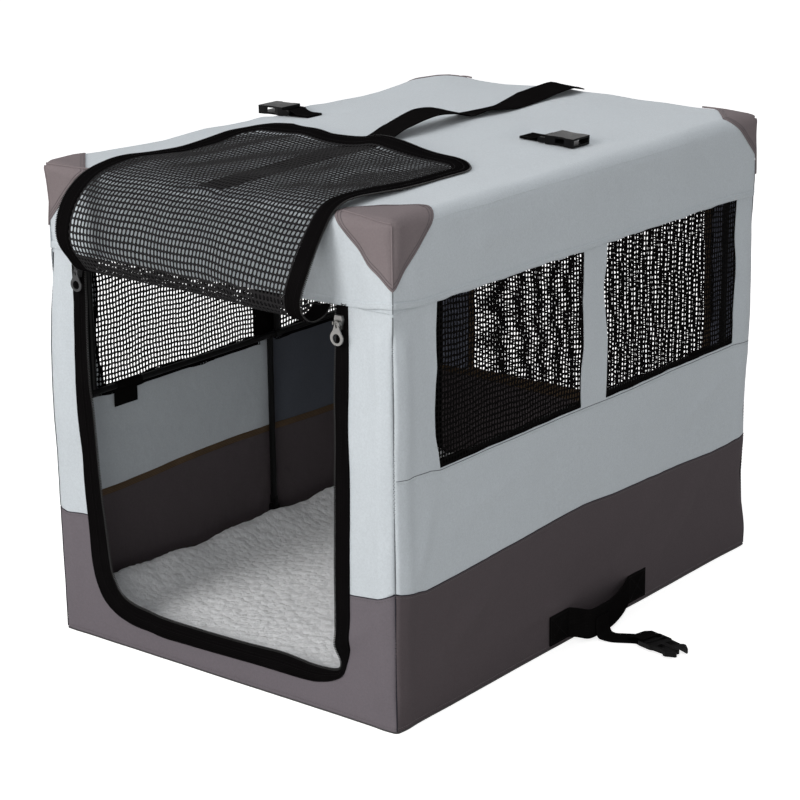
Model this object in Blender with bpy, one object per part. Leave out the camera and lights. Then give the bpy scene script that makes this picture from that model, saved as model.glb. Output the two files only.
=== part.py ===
"""Soft-sided folding pet crate: fabric walls on a steel tube frame, mesh windows, roll-back door.

Units are metres and Z is up. The origin is on the floor under the middle of the crate, and the
doorway faces -Y. Each group of pieces that moves hangs from an empty on its joint's axis.
Left is -X and right is +X.
"""

import math

import bmesh
import bpy
from mathutils import Matrix, Vector

# Outer size, and the thin layers that it is made of
WIDTH = 0.546
LENGTH = 0.790
HEIGHT = 0.610
GAP = 0.0003
FABRIC = 0.0018
PATCH = 0.0012
HALF_W = WIDTH / 2 - PATCH - GAP
HALF_L = LENGTH / 2 - PATCH - GAP
ROOF_Z = HEIGHT - PATCH - GAP

# Heights of the seams round the walls
FLOOR_TOP = FABRIC
KICK_TOP = 0.168
SIDE_SEAM = 0.305
SKIRT_Z = 0.505
ROOF_EDGE_R = 0.012
ROOF_CROWN = 0.006
CROWN_START = 0.045
CROWN_REACH = 0.250
LEAST_CORNER_R = 0.0006
PATCH_ARM = 0.078

# Doorway, its zip tape and the rolled-back door
DOOR_X = -0.008
DOOR_HALF = 0.196
DOOR_BOTTOM = 0.046
DOOR_LEFT_R = 0.085
DOOR_RIGHT_R = 0.035
TAPE_WIDTH = 0.019
TAPE_T = 0.0015
FLAP_HALF = 0.193
FLAP_T = 0.002
FLAP_ROOT = (-0.3972, 0.5035)
FLAP_LENGTHS = (0.0285, 0.050, 0.049, 0.057, 0.279)
FLAP_TURNS = (80.0, 80.0, 43.0, 38.5, 28.0)
FLAP_ROWS = (0, 1, 1, 1, 6)
FLAP_COLUMNS = 10
FLAP_BINDING = 0.018
FLAP_END_GAP = 0.00115
FLAP_CORNER_R = 0.045

# Windows: (low, high) along the wall, between these heights
SIDE_WINDOWS = {"front": (-0.316, -0.020), "rear": (0.036, 0.347)}
SIDE_WINDOW_Z = (SIDE_SEAM, 0.500)
BACK_WINDOW_HALF = 0.200
BACK_WINDOW_Z = (0.175, 0.498)
NET_T = 0.0012
NET_BORDER = 0.008
NET_STRAND = 0.003

# Steel frame: two rails, and three folding legs on each side
FRAME_X = 0.2630
RAIL_Y = 0.385
RAIL_R = 0.005
RAIL_CORNER_R = 0.025
BASE_RAIL_Z = 0.0078
TOP_RAIL_Z = ROOF_Z - FABRIC - 0.0027 - RAIL_R
BASE_PIVOT_Z = 0.055
MID_Z = SIDE_SEAM
TOP_PIVOT_Z = 2 * MID_Z - BASE_PIVOT_Z
LOWER_LEG_Y = (-0.350, 0.006, 0.350)
UPPER_LEG_Y = (-0.335, 0.021, 0.335)
LEG_NAMES = ("front", "middle", "rear")
LEG_R = 0.0045
BAR_R = 0.004
BAR_HALF = 0.368
RIVET_R = 0.002
EYE_R = 0.0049
EYE_T = 0.005
EYE_BORE_R = 0.0024
EYE_STEM = 0.016
EAR_HALF = 0.0058
EAR_T = 0.0018
EAR_INNER = 0.0029
SLEEVE_R = 0.0060
SLEEVE_BORE_R = 0.0043
SLEEVE_HALF = 0.006

# Hook-and-loop tabs that tie the middle bars to the walls
TAB_Y = {"front": -0.273, "rear": 0.273}
TAB_HALF = 0.022
TAB_R = 0.0057
TAB_TAIL = 0.030
TAB_T = 0.0008

# Zip sliders and their pulls
SLIDER_X = 0.2065
SLIDER_Z = 0.486
SLIDER_HALF = (0.0058, 0.0085)
SLIDER_T = 0.0045
SLIDER_Y = -(HALF_L + GAP + TAPE_T + GAP)
BAIL_R = 0.0011
BAIL_STAND = 0.0026
PULL_LENGTH = 0.034
PULL_T = 0.0014

# Straps and buckles
WEB_T = 0.0016
CARRY_WIDTH = 0.038
HANDLE_WIDTH = 0.040
STRAP_WIDTH = 0.030
STRAP_ROOT = (0.2989, -0.004, 0.030)
MALE_BASE = (0.358, 0.011, 0.0030)
MALE_TURN = math.radians(-13.6)
ROOF_BARS = {"left": (-0.240, 0.045), "right": (0.1535, 0.075)}
ROOF_BAR_RISE = 0.0044
CARRY_X = -0.012
HANDLE_AXIS = (0.2726, 0.046)

# Fleece pad
PAD_HALF = (0.243, 0.366)
PAD_GRID = (16, 24)
PAD_HEM_T = 0.004
PAD_EDGE_T = 0.018
PAD_CROWN = 0.014
PAD_PINCH = 0.010

COLOURS = {
    "light_fabric": ((0.58, 0.63, 0.65), 0.85, 0.0),
    "dark_fabric": ((0.14, 0.12, 0.125), 0.85, 0.0),
    "binding": ((0.012, 0.011, 0.011), 0.75, 0.0),
    "net": ((0.016, 0.015, 0.015), 0.6, 0.0),
    "webbing": ((0.012, 0.011, 0.012), 0.7, 0.0),
    "plastic": ((0.010, 0.010, 0.011), 0.35, 0.0),
    "frame_steel": ((0.015, 0.015, 0.016), 0.4, 0.6),
    "zip_metal": ((0.45, 0.45, 0.44), 0.3, 1.0),
    "fleece": ((0.80, 0.79, 0.75), 0.95, 0.0),
    "floor_fabric": ((0.05, 0.045, 0.045), 0.85, 0.0),
}

AXIS_X = Vector((1, 0, 0))
AXIS_Y = Vector((0, 1, 0))
AXIS_Z = Vector((0, 0, 1))


def clear_scene():
    for obj in list(bpy.data.objects):
        bpy.data.objects.remove(obj, do_unlink=True)


def make_materials():
    made = {}
    for name, (colour, roughness, metallic) in COLOURS.items():
        material = bpy.data.materials.new(name)
        material.use_nodes = True
        shader = material.node_tree.nodes["Principled BSDF"]
        shader.inputs["Base Color"].default_value = (*colour, 1)
        shader.inputs["Roughness"].default_value = roughness
        shader.inputs["Metallic"].default_value = metallic
        material.diffuse_color = (*colour, 1)
        made[name] = material
    return made


clear_scene()
MATERIALS = make_materials()
PIVOTS = {}
EMPTIES = {}


def add_body(name, pivot, parent=None):
    """An empty on the joint's axis. Its pieces and its child bodies hang from it."""
    empty = bpy.data.objects.new("axis_" + name, None)
    empty.empty_display_size = 0.03
    bpy.context.scene.collection.objects.link(empty)
    PIVOTS[name] = Vector(pivot)
    EMPTIES[name] = empty
    empty.location = PIVOTS[name]
    if parent:
        empty.parent = EMPTIES[parent]
        empty.matrix_parent_inverse = Matrix.Translation(-PIVOTS[parent])


def face_outwards(bm):
    """Turns a closed mesh's faces outwards. The volume settles what a thin plate leaves in doubt."""
    bmesh.ops.recalc_face_normals(bm, faces=bm.faces)
    if bm.calc_volume(signed=True) < 0:
        bmesh.ops.reverse_faces(bm, faces=bm.faces)


def add_solid(name, bm, body, finish, smooth=False, skin=False):
    """One named solid, modelled in world space, hung from its body's empty.

    A skin is an open sheet round the crate's middle, whose Solidify modifier closes it.
    """
    if skin:
        middle = Vector((0, 0, HEIGHT / 2))
        bm.normal_update()
        inward = [f for f in bm.faces if f.normal.dot(f.calc_center_median() - middle) < 0]
        bmesh.ops.reverse_faces(bm, faces=inward)
    else:
        face_outwards(bm)
    mesh = bpy.data.meshes.new(name)
    bm.to_mesh(mesh)
    bm.free()
    mesh.materials.append(MATERIALS[finish])
    if smooth:
        mesh.shade_smooth()
        mesh.set_sharp_from_angle(angle=math.radians(35))
    obj = bpy.data.objects.new(name, mesh)
    bpy.context.scene.collection.objects.link(obj)
    obj.parent = EMPTIES[body]
    obj.matrix_parent_inverse = Matrix.Translation(-PIVOTS[body])
    return obj


def add_boolean(obj, bm, operation, overlapping=False):
    """Joins a hidden tool to a solid, or cuts it out. An overlapping tool crosses itself."""
    if not overlapping:
        face_outwards(bm)
    mesh = bpy.data.meshes.new(obj.name + "_tool")
    bm.to_mesh(mesh)
    bm.free()
    tool = bpy.data.objects.new(mesh.name, mesh)
    bpy.context.scene.collection.objects.link(tool)
    tool.hide_render = True
    tool.display_type = "WIRE"
    modifier = obj.modifiers.new(operation.lower(), "BOOLEAN")
    modifier.operation = operation
    modifier.object = tool
    modifier.use_self = overlapping


def facing(origin, u, v, w):
    """The matrix that takes local (u, v, w) to world space."""
    matrix = Matrix((u, v, w)).transposed().to_4x4()
    matrix.translation = Vector(origin)
    return matrix


FRONT = facing((0, -HALF_L, 0), AXIS_X, AXIS_Z, AXIS_Y)
BACK = facing((0, HALF_L, 0), AXIS_X, AXIS_Z, -AXIS_Y)
FLAT = Matrix.Identity(4)


def side_face(sign):
    return facing((sign * HALF_W, 0, 0), AXIS_Y, AXIS_Z, -sign * AXIS_X)


def arc(centre, radius, start, end, steps):
    """Points on an arc in the plane, angles in degrees."""
    points = []
    for i in range(steps + 1):
        angle = math.radians(start + (end - start) * i / steps)
        points.append((centre[0] + radius * math.cos(angle), centre[1] + radius * math.sin(angle)))
    return points


def rectangle(low_u, high_u, low_v, high_v):
    return [(low_u, low_v), (high_u, low_v), (high_u, high_v), (low_u, high_v)]


def rounded_rectangle(half_u, half_v, radius, steps=3):
    points = []
    for k, (su, sv) in enumerate(((1, 1), (-1, 1), (-1, -1), (1, -1))):
        centre = (su * (half_u - radius), sv * (half_v - radius))
        points += arc(centre, radius, 90 * k, 90 * k + 90, steps)
    return points


def doorway(half, bottom, grow, top):
    """The doorway's edge, from its top left corner down, across and up to its top right.

    The photograph shows a broad curve at its lower left corner and a tight one at the right.
    """
    left_r, right_r = DOOR_LEFT_R + grow, DOOR_RIGHT_R + grow
    left = arc((DOOR_X - half + left_r, bottom + left_r), left_r, 180, 270, 6)
    right = arc((DOOR_X + half - right_r, bottom + right_r), right_r, 270, 360, 6)
    return [(DOOR_X - half, top)] + left + right + [(DOOR_X + half, top)]


def plate(outline, holes, thickness, place=FLAT):
    """A flat piece: an outline with holes, thickened from its face at w = 0."""
    bm = bmesh.new()
    edges = []
    for loop in [outline, *holes]:
        verts = [bm.verts.new((u, v, 0)) for u, v in loop]
        edges += [bm.edges.new(pair) for pair in zip(verts, verts[1:] + verts[:1])]
    filled = bmesh.ops.triangle_fill(bm, use_beauty=True, edges=edges)
    faces = [item for item in filled["geom"] if isinstance(item, bmesh.types.BMFace)]
    raised = bmesh.ops.extrude_face_region(bm, geom=faces)
    verts = [item for item in raised["geom"] if isinstance(item, bmesh.types.BMVert)]
    bmesh.ops.translate(bm, verts=verts, vec=(0, 0, thickness))
    bm.transform(place)
    return bm


def block(low, high):
    outline = rectangle(low[0], high[0], low[1], high[1])
    return plate(outline, [], high[2] - low[2], Matrix.Translation((0, 0, low[2])))


def sweep(path, profile, across, closed=False):
    """Runs a profile of (across, up) points along a path. Across is one direction or one each."""
    bm = bmesh.new()
    count = len(path)
    points = [Vector(p) for p in path]
    rings = []
    for i, point in enumerate(points):
        before = points[i - 1] if closed or i else point
        after = points[(i + 1) % count] if closed or i + 1 < count else point
        tangent = (after - before).normalized()
        hint = Vector(across[i]) if isinstance(across, list) else across
        up = tangent.cross(hint).normalized()
        side = up.cross(tangent).normalized()
        rings.append([bm.verts.new(point + side * a + up * b) for a, b in profile])
    pairs = list(zip(rings, rings[1:]))
    if closed:
        pairs.append((rings[-1], rings[0]))
    for one, two in pairs:
        for k in range(len(profile)):
            j = (k + 1) % len(profile)
            bm.faces.new((one[k], one[j], two[j], two[k]))
    if not closed:
        bm.faces.new(rings[0])
        bm.faces.new(list(reversed(rings[-1])))
    return bm


def circle(radius, sides):
    return arc((0, 0), radius, 0, 360 - 360 / sides, sides - 1)


def band(width, thickness=WEB_T):
    return rectangle(-width / 2, width / 2, -thickness / 2, thickness / 2)


def rod(start, end, radius, sides=10):
    across = AXIS_Z if abs((Vector(end) - Vector(start)).z) < 1e-6 else AXIS_Y
    return sweep([start, end], circle(radius, sides), across)


def join(*parts):
    """Puts several meshes into one, as one Boolean tool."""
    whole = bmesh.new()
    for part in parts:
        face_outwards(part)
        mesh = bpy.data.meshes.new("part")
        part.to_mesh(mesh)
        part.free()
        whole.from_mesh(mesh)
        bpy.data.meshes.remove(mesh)
    return whole


def net_lines(size, gaps, border, strand):
    """Where a net's borders, gaps and strands meet along one direction."""
    gap = (size - 2 * border - (gaps - 1) * strand) / gaps
    lines = [0.0, border]
    for _ in range(gaps - 1):
        lines += [lines[-1] + gap, lines[-1] + gap + strand]
    return lines + [size - border, size]


def net(size, gaps, border, place, thickness=NET_T):
    """A flat net: crossing strands inside a border, open between them."""
    us = net_lines(size[0], gaps[0], border[0], NET_STRAND)
    vs = net_lines(size[1], gaps[1], border[1], NET_STRAND)
    bm = bmesh.new()
    grid = [[bm.verts.new((u, v, 0)) for v in vs] for u in us]
    for i in range(len(us) - 1):
        for j in range(len(vs) - 1):
            if i % 2 and j % 2:
                continue
            bm.faces.new((grid[i][j], grid[i + 1][j], grid[i + 1][j + 1], grid[i][j + 1]))
    raised = bmesh.ops.extrude_face_region(bm, geom=bm.faces[:])
    verts = [item for item in raised["geom"] if isinstance(item, bmesh.types.BMVert)]
    bmesh.ops.translate(bm, verts=verts, vec=(0, 0, thickness))
    bm.transform(place)
    return bm


def roof_height(inset):
    """Height of the slightly crowned roof at a distance in from its edge."""
    share = min(max(inset - CROWN_START, 0) / (CROWN_REACH - CROWN_START), 1)
    return ROOF_Z + ROOF_CROWN * (1 - (1 - share) ** 2)


def roof_at(x, y):
    return roof_height(min(HALF_W - abs(x), HALF_L - abs(y)))


def make_bodies():
    add_body("base", (0, 0, 0))
    for side, sign in (("left", -1), ("right", 1)):
        add_body(side + "_lower_legs", (sign * FRAME_X, 0, BASE_PIVOT_Z), "base")
        add_body(side + "_upper_legs", (sign * FRAME_X, 0, MID_Z), side + "_lower_legs")
    add_body("top", (-FRAME_X, 0, TOP_PIVOT_Z), "left_upper_legs")
    parent = "top"
    for index, (y, z, _) in enumerate(flap_line()[:-1]):
        add_body(f"door_{index + 1}", (DOOR_X, y, z), parent)
        parent = f"door_{index + 1}"
    for side, sign in (("left", -1), ("right", 1)):
        slider_x = DOOR_X + sign * SLIDER_X
        add_body("slider_" + side, (slider_x, SLIDER_Y, SLIDER_Z), "top")
        add_body("pull_" + side, (slider_x, bail_y(), SLIDER_Z), "slider_" + side)
        add_body("socket_" + side, (*ROOF_BARS[side], roof_bar_z(side)), "top")
        add_body("handle_" + side, (sign * HANDLE_AXIS[0], 0, HANDLE_AXIS[1]), "base")
        root = (sign * STRAP_ROOT[0], STRAP_ROOT[1], STRAP_ROOT[2])
        add_body("strap_" + side, root, "handle_" + side)


def flap_line():
    """The rolled-back door from the side: (y, z, heading) where each stretch starts, and its end.

    The heading is in degrees, 0 straight down, 90 out to the front and 270 back over the roof.
    """
    y, z = FLAP_ROOT
    heading = 0
    line = []
    for length, turn in zip(FLAP_LENGTHS, FLAP_TURNS):
        heading += turn
        line.append((y, z, heading))
        y -= length * math.sin(math.radians(heading))
        z -= length * math.cos(math.radians(heading))
    return line + [(y, z, heading)]


def bail_y():
    return SLIDER_Y - SLIDER_T - BAIL_STAND


def roof_bar_z(side):
    return roof_at(*ROOF_BARS[side]) + ROOF_BAR_RISE + 2 * GAP


# Steel frame


def hinge_bracket(x, y, pivot_z, rail_z):
    """Two ears on a saddle across the rail, with the rivet that the leg turns on."""
    away = 1 if rail_z < pivot_z else -1
    reach = abs(pivot_z - rail_z)
    ear = [(-EAR_HALF, -reach), (EAR_HALF, -reach)] + arc((0, 0), EAR_HALF, 0, 180, 6)
    parts = []
    for start in (EAR_INNER, -EAR_INNER - EAR_T):
        place = facing((x, y + start, pivot_z), AXIS_X, away * AXIS_Z, AXIS_Y)
        parts.append(plate(ear, [], EAR_T, place))
    saddle = rectangle(-EAR_HALF + 0.0004, EAR_HALF - 0.0004, 0.002, 0.0085)
    half = EAR_INNER + EAR_T / 2
    place = facing((x, y - half, rail_z), AXIS_X, away * AXIS_Z, AXIS_Y)
    parts.append(plate(saddle, [], 2 * half, place))
    head = EAR_INNER + EAR_T + 0.0008
    parts.append(rod((x, y - head, pivot_z), (x, y + head, pivot_z), RIVET_R, 8))
    return join(*parts)


def make_rail(name, body, z, pivot_z, leg_ys):
    outline = rounded_rectangle(FRAME_X, RAIL_Y, RAIL_CORNER_R, 3)
    path = [(x, y, z) for x, y in outline]
    rail = sweep(path, circle(RAIL_R, 10), AXIS_Z, closed=True)
    obj = add_solid(name, rail, body, "frame_steel", smooth=True)
    spots = [(sign * FRAME_X, y) for sign in (-1, 1) for y in leg_ys]
    brackets = [hinge_bracket(x, y, pivot_z, z) for x, y in spots]
    add_boolean(obj, join(*brackets), "UNION", overlapping=True)


def leg_tube(x, y, pivot_z, bar_z):
    """One leg from its flattened, drilled end at the pivot to the middle bar."""
    way = 1 if bar_z > pivot_z else -1
    eye = arc((0, 0), EYE_R, 180, 360, 6) + [(EYE_R, EYE_STEM), (-EYE_R, EYE_STEM)]
    place = facing((x, y - EYE_T / 2, pivot_z), AXIS_X, way * AXIS_Z, AXIS_Y)
    flat = plate(eye, [circle(EYE_BORE_R, 8)], EYE_T, place)
    start = (x, y, pivot_z + way * (EYE_STEM - 0.003))
    return [flat, rod(start, (x, y, bar_z), LEG_R)]


def make_lower_legs(side, sign):
    """Three legs welded to the middle bar."""
    x = sign * FRAME_X
    bar = rod((x, -BAR_HALF, MID_Z), (x, BAR_HALF, MID_Z), BAR_R, 12)
    obj = add_solid(side + "_lower_leg_frame", bar, side + "_lower_legs", "frame_steel", True)
    parts = []
    for y in LOWER_LEG_Y:
        parts += leg_tube(x, y, BASE_PIVOT_Z, MID_Z)
    add_boolean(obj, join(*parts), "UNION", overlapping=True)


def make_upper_legs(side, sign):
    """Three separate legs, each with a sleeve that turns round the middle bar."""
    x = sign * FRAME_X
    for place, y in zip(LEG_NAMES, UPPER_LEG_Y):
        sleeve = rod((x, y - SLEEVE_HALF, MID_Z), (x, y + SLEEVE_HALF, MID_Z), SLEEVE_R, 12)
        name = f"{side}_upper_leg_{place}"
        obj = add_solid(name, sleeve, side + "_upper_legs", "frame_steel", True)
        parts = leg_tube(x, y, TOP_PIVOT_Z, MID_Z + SLEEVE_BORE_R + 0.0005)
        add_boolean(obj, join(*parts), "UNION", overlapping=True)
        ends = [(x, y + end * (SLEEVE_HALF + 0.002), MID_Z) for end in (-1, 1)]
        add_boolean(obj, rod(*ends, SLEEVE_BORE_R, 12), "DIFFERENCE")


def make_tabs(side, sign):
    """Hook-and-loop tabs wrapped round the middle bar, with a tail down the wall."""
    x = sign * FRAME_X
    for place, y in TAB_Y.items():
        ring = rod((x, y - TAB_HALF, MID_Z), (x, y + TAB_HALF, MID_Z), TAB_R, 12)
        name = f"{side}_frame_tab_{place}"
        obj = add_solid(name, ring, side + "_lower_legs", "binding", True)
        inner = x + sign * (TAB_R - TAB_T - 0.0005)
        tail_x = sorted((inner, inner + sign * TAB_T))
        tail = block((tail_x[0], y - TAB_HALF + 0.001, MID_Z - TAB_TAIL),
                     (tail_x[1], y + TAB_HALF - 0.001, MID_Z - 0.001))
        add_boolean(obj, tail, "UNION")
        ends = [(x, y + end * (TAB_HALF + 0.002), MID_Z) for end in (-1, 1)]
        add_boolean(obj, rod(*ends, SLEEVE_BORE_R, 12), "DIFFERENCE")


def make_frame():
    make_rail("base_rail", "base", BASE_RAIL_Z, BASE_PIVOT_Z, LOWER_LEG_Y)
    make_rail("top_rail", "top", TOP_RAIL_Z, TOP_PIVOT_Z, UPPER_LEG_Y)
    for side, sign in (("left", -1), ("right", 1)):
        make_lower_legs(side, sign)
        make_upper_legs(side, sign)
        make_tabs(side, sign)


# Fabric walls, floor and pad


def make_floor():
    floor = plate(rectangle(-HALF_W, HALF_W, -HALF_L, HALF_L), [], FABRIC)
    add_solid("floor_panel", floor, "base", "floor_fabric")


def pad_outline(u, v):
    """A point of the pad seen from above: its sides draw in between the corners."""
    draw_x = 1 - PAD_PINCH / PAD_HALF[0] * (1 - v * v)
    draw_y = 1 - PAD_PINCH / PAD_HALF[1] * (1 - u * u)
    return PAD_HALF[0] * u * draw_x, PAD_HALF[1] * v * draw_y


def make_pad():
    """A fleece mat with a crown, thin at its sewn edge, flat underneath."""
    columns, rows = PAD_GRID
    bottom = FLOOR_TOP + GAP
    bm = bmesh.new()
    layers = {"bottom": {}, "top": {}}
    for i in range(columns + 1):
        for j in range(rows + 1):
            u = math.sin(math.pi / 2 * (2 * i / columns - 1))
            v = math.sin(math.pi / 2 * (2 * j / rows - 1))
            x, y = pad_outline(u, v)
            full = ((1 - u ** 8) * (1 - v ** 8)) ** 0.5
            bulge = (1 - u * u) ** 0.5 * (1 - v * v) ** 0.5
            z = bottom + PAD_HEM_T + PAD_EDGE_T * full + PAD_CROWN * bulge
            layers["top"][i, j] = bm.verts.new((x, y, z))
            if i in (0, columns) or j in (0, rows):
                layers["bottom"][i, j] = bm.verts.new((x, y, bottom))
    for i in range(columns):
        for j in range(rows):
            corners = ((i, j), (i + 1, j), (i + 1, j + 1), (i, j + 1))
            bm.faces.new([layers["top"][key] for key in corners])
    rim = [(0, j) for j in range(rows)]
    rim += [(i, rows) for i in range(columns)]
    rim += [(columns, j) for j in range(rows, 0, -1)]
    rim += [(i, 0) for i in range(columns, 0, -1)]
    for a, b in zip(rim, rim[1:] + rim[:1]):
        bm.faces.new((layers["bottom"][a], layers["bottom"][b], layers["top"][b], layers["top"][a]))
    bm.faces.new([layers["bottom"][key] for key in rim])
    add_solid("fleece_pad", bm, "base", "fleece", smooth=True)


def make_front_wall():
    low = FLOOR_TOP + GAP
    edge = doorway(DOOR_HALF, DOOR_BOTTOM, 0, KICK_TOP)
    kick = [(-HALF_W, KICK_TOP)] + edge + [(HALF_W, KICK_TOP), (HALF_W, low), (-HALF_W, low)]
    add_solid("front_kick_panel", plate(kick, [], FABRIC, FRONT), "base", "dark_fabric")
    for side, sign in (("left", -1), ("right", 1)):
        ends = sorted((sign * HALF_W, DOOR_X + sign * DOOR_HALF))
        outline = rectangle(ends[0], ends[1], KICK_TOP + GAP, SKIRT_Z - GAP)
        name = f"front_panel_{side}"
        add_solid(name, plate(outline, [], FABRIC, FRONT), "base", "light_fabric")


def make_zip_tape():
    """The bound zip tape sewn on round the doorway."""
    top = SKIRT_Z - 0.0035
    outer = doorway(DOOR_HALF + 0.001 + TAPE_WIDTH, DOOR_BOTTOM - 0.001 - TAPE_WIDTH, TAPE_WIDTH, top)
    inner = doorway(DOOR_HALF + 0.001, DOOR_BOTTOM - 0.001, 0, top)
    outline = outer + inner[::-1]
    place = facing((0, -HALF_L - GAP, 0), AXIS_X, AXIS_Z, -AXIS_Y)
    add_solid("door_zip_tape", plate(outline, [], TAPE_T, place), "base", "binding")


def make_back_wall():
    low = FLOOR_TOP + GAP
    kick = rectangle(-HALF_W, HALF_W, low, KICK_TOP)
    add_solid("back_kick_panel", plate(kick, [], FABRIC, BACK), "base", "dark_fabric")
    outline = rectangle(-HALF_W, HALF_W, KICK_TOP + GAP, SKIRT_Z - GAP)
    hole = rectangle(-BACK_WINDOW_HALF, BACK_WINDOW_HALF, *BACK_WINDOW_Z)
    add_solid("back_panel", plate(outline, [hole], FABRIC, BACK), "base", "light_fabric")
    size = (2 * BACK_WINDOW_HALF - 2 * GAP, BACK_WINDOW_Z[1] - BACK_WINDOW_Z[0] - 2 * GAP)
    corner = (-BACK_WINDOW_HALF + GAP, HALF_L - GAP, BACK_WINDOW_Z[0] + GAP)
    place = facing(corner, AXIS_X, AXIS_Z, -AXIS_Y)
    mesh = net(size, (9, 7), (NET_BORDER, NET_BORDER), place)
    add_solid("back_window_net", mesh, "base", "net")


def make_side_wall(side, sign):
    place = side_face(sign)
    half = HALF_L - FABRIC - GAP
    kick = rectangle(-half, half, FLOOR_TOP + GAP, KICK_TOP)
    add_solid(side + "_kick_panel", plate(kick, [], FABRIC, place), "base", "dark_fabric")
    outline = rectangle(-half, half, KICK_TOP + GAP, SKIRT_Z - GAP)
    holes = [rectangle(*ends, *SIDE_WINDOW_Z) for ends in SIDE_WINDOWS.values()]
    add_solid(side + "_panel", plate(outline, holes, FABRIC, place), "base", "light_fabric")
    for name, (low, high) in SIDE_WINDOWS.items():
        size = (high - low - 2 * GAP, SIDE_WINDOW_Z[1] - SIDE_WINDOW_Z[0] - 2 * GAP)
        corner = (sign * (HALF_W - GAP), low + GAP, SIDE_WINDOW_Z[0] + GAP)
        mesh = net(size, (7, 5), (NET_BORDER, NET_BORDER),
                   facing(corner, AXIS_Y, AXIS_Z, -sign * AXIS_X))
        add_solid(f"{side}_window_net_{name}", mesh, "base", "net")


def cover_surface(proud):
    """The outer surface of the roof and skirt as an open sheet, this far proud of the fabric."""
    radius = ROOF_EDGE_R + proud
    rings = [(0, SKIRT_Z), (0, ROOF_Z - ROOF_EDGE_R)]
    for angle in (30, 60, 90):
        turn = math.radians(angle)
        rings.append((radius * (1 - math.cos(turn)), ROOF_Z + proud - radius * (1 - math.sin(turn))))
    for inset in (CROWN_START, 0.100, 0.160, 0.225):
        rings.append((inset, roof_height(inset) + proud))
    bm = bmesh.new()
    loops = []
    for inset, z in rings:
        corner = max(radius - inset, LEAST_CORNER_R)
        outline = rounded_rectangle(HALF_W + proud - inset, HALF_L + proud - inset, corner)
        loops.append([bm.verts.new((x, y, z)) for x, y in outline])
    for one, two in zip(loops, loops[1:]):
        for k in range(len(one)):
            j = (k + 1) % len(one)
            bm.faces.new((one[k], one[j], two[j], two[k]))
    bm.faces.new(loops[-1])
    return bm


def thicken(obj, thickness, way):
    """Closes a sheet into a solid, outwards where way is 1 and inwards where it is -1."""
    modifier = obj.modifiers.new("thickness", "SOLIDIFY")
    modifier.thickness = thickness
    modifier.offset = way


def make_roof_cover():
    """Roof and skirt in one piece: rounded edges, a low crown, open underneath."""
    obj = add_solid("roof_cover", cover_surface(0), "top", "light_fabric", smooth=True, skin=True)
    thicken(obj, FABRIC, -1)


def make_corner_patch(name, sx, sy):
    """A three-panel cap over one roof corner, its hem along a slanting plane."""
    bm = cover_surface(GAP)
    corner = Vector((sx * (HALF_W + GAP), sy * (HALF_L + GAP), ROOF_Z + GAP))
    hem = corner - Vector((sx * PATCH_ARM, 0, 0))
    bmesh.ops.bisect_plane(bm, geom=bm.verts[:] + bm.edges[:] + bm.faces[:], plane_co=hem,
                           plane_no=(-sx, -sy, -1), clear_outer=True)
    obj = add_solid(name, bm, "top", "dark_fabric", smooth=True, skin=True)
    thicken(obj, PATCH, 1)


def make_fabric():
    make_floor()
    make_pad()
    make_front_wall()
    make_zip_tape()
    make_back_wall()
    make_side_wall("left", -1)
    make_side_wall("right", 1)
    make_roof_cover()
    for end, sy in (("front", -1), ("back", 1)):
        for side, sx in (("left", -1), ("right", 1)):
            make_corner_patch(f"corner_patch_{end}_{side}", sx, sy)


# Door


def make_flap():
    """The mesh door, bound all round, in stretches that roll back over the front of the roof."""
    line = flap_line()
    for index, (y, z, heading) in enumerate(line[:-1]):
        length = FLAP_LENGTHS[index]
        turn = math.radians(heading)
        along = Vector((0, -math.sin(turn), -math.cos(turn)))
        out = AXIS_X.cross(along)
        corner = Vector((DOOR_X - FLAP_HALF, y, z)) - out * FLAP_T / 2
        place = facing(corner, AXIS_X, along, out)
        start = FLAP_END_GAP
        last = index == len(line) - 2
        end = length if last else length - FLAP_END_GAP
        name = f"door_flap_{index + 1}"
        body = f"door_{index + 1}"
        width = 2 * FLAP_HALF
        if FLAP_ROWS[index] == 0:
            add_solid(name, plate(rectangle(0, width, start, end), [], FLAP_T, place), body, "binding")
            continue
        border = (FLAP_BINDING, NET_STRAND)
        shifted = place @ Matrix.Translation((0, start, 0))
        if not last:
            mesh = net((width, end - start), (FLAP_COLUMNS, FLAP_ROWS[index]), border, shifted, FLAP_T)
            add_solid(name, mesh, body, "net")
            continue
        make_flap_end(name, body, width, start, end, place)


def make_flap_end(name, body, width, start, end, place):
    """The free end: a net inside a binding with round corners."""
    def hoop(margin):
        radius = FLAP_CORNER_R - margin
        right = arc((width - FLAP_CORNER_R, end - FLAP_CORNER_R), radius, 0, 90, 5)
        left = arc((FLAP_CORNER_R, end - FLAP_CORNER_R), radius, 90, 180, 5)
        return right + left

    outer = hoop(0)
    inner = hoop(FLAP_BINDING)
    outline = [(width, start)] + outer + [(0, start), (FLAP_BINDING, start)] + inner[::-1]
    outline.append((width - FLAP_BINDING, start))
    obj = add_solid(name, plate(outline, [], FLAP_T, place), body, "net")
    inset = FLAP_BINDING - 0.004
    size = (width - 2 * inset, end - inset - start)
    shifted = place @ Matrix.Translation((inset, start, 0.0002))
    mesh = net(size, (FLAP_COLUMNS, FLAP_ROWS[-1]), (0.006, NET_STRAND), shifted, FLAP_T - 0.0004)
    trim = hoop(inset)
    trim_outline = [(width - inset, start - 0.002)] + trim + [(inset, start - 0.002)]
    cutter = plate(trim_outline, [], FLAP_T + 0.004, place @ Matrix.Translation((0, 0, -0.002)))
    tool = add_solid(name + "_net", mesh, body, "net")
    add_boolean(tool, cutter, "INTERSECT")
    tool.hide_render = True
    tool.display_type = "WIRE"
    union = obj.modifiers.new("union", "BOOLEAN")
    union.operation = "UNION"
    union.object = tool


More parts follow.
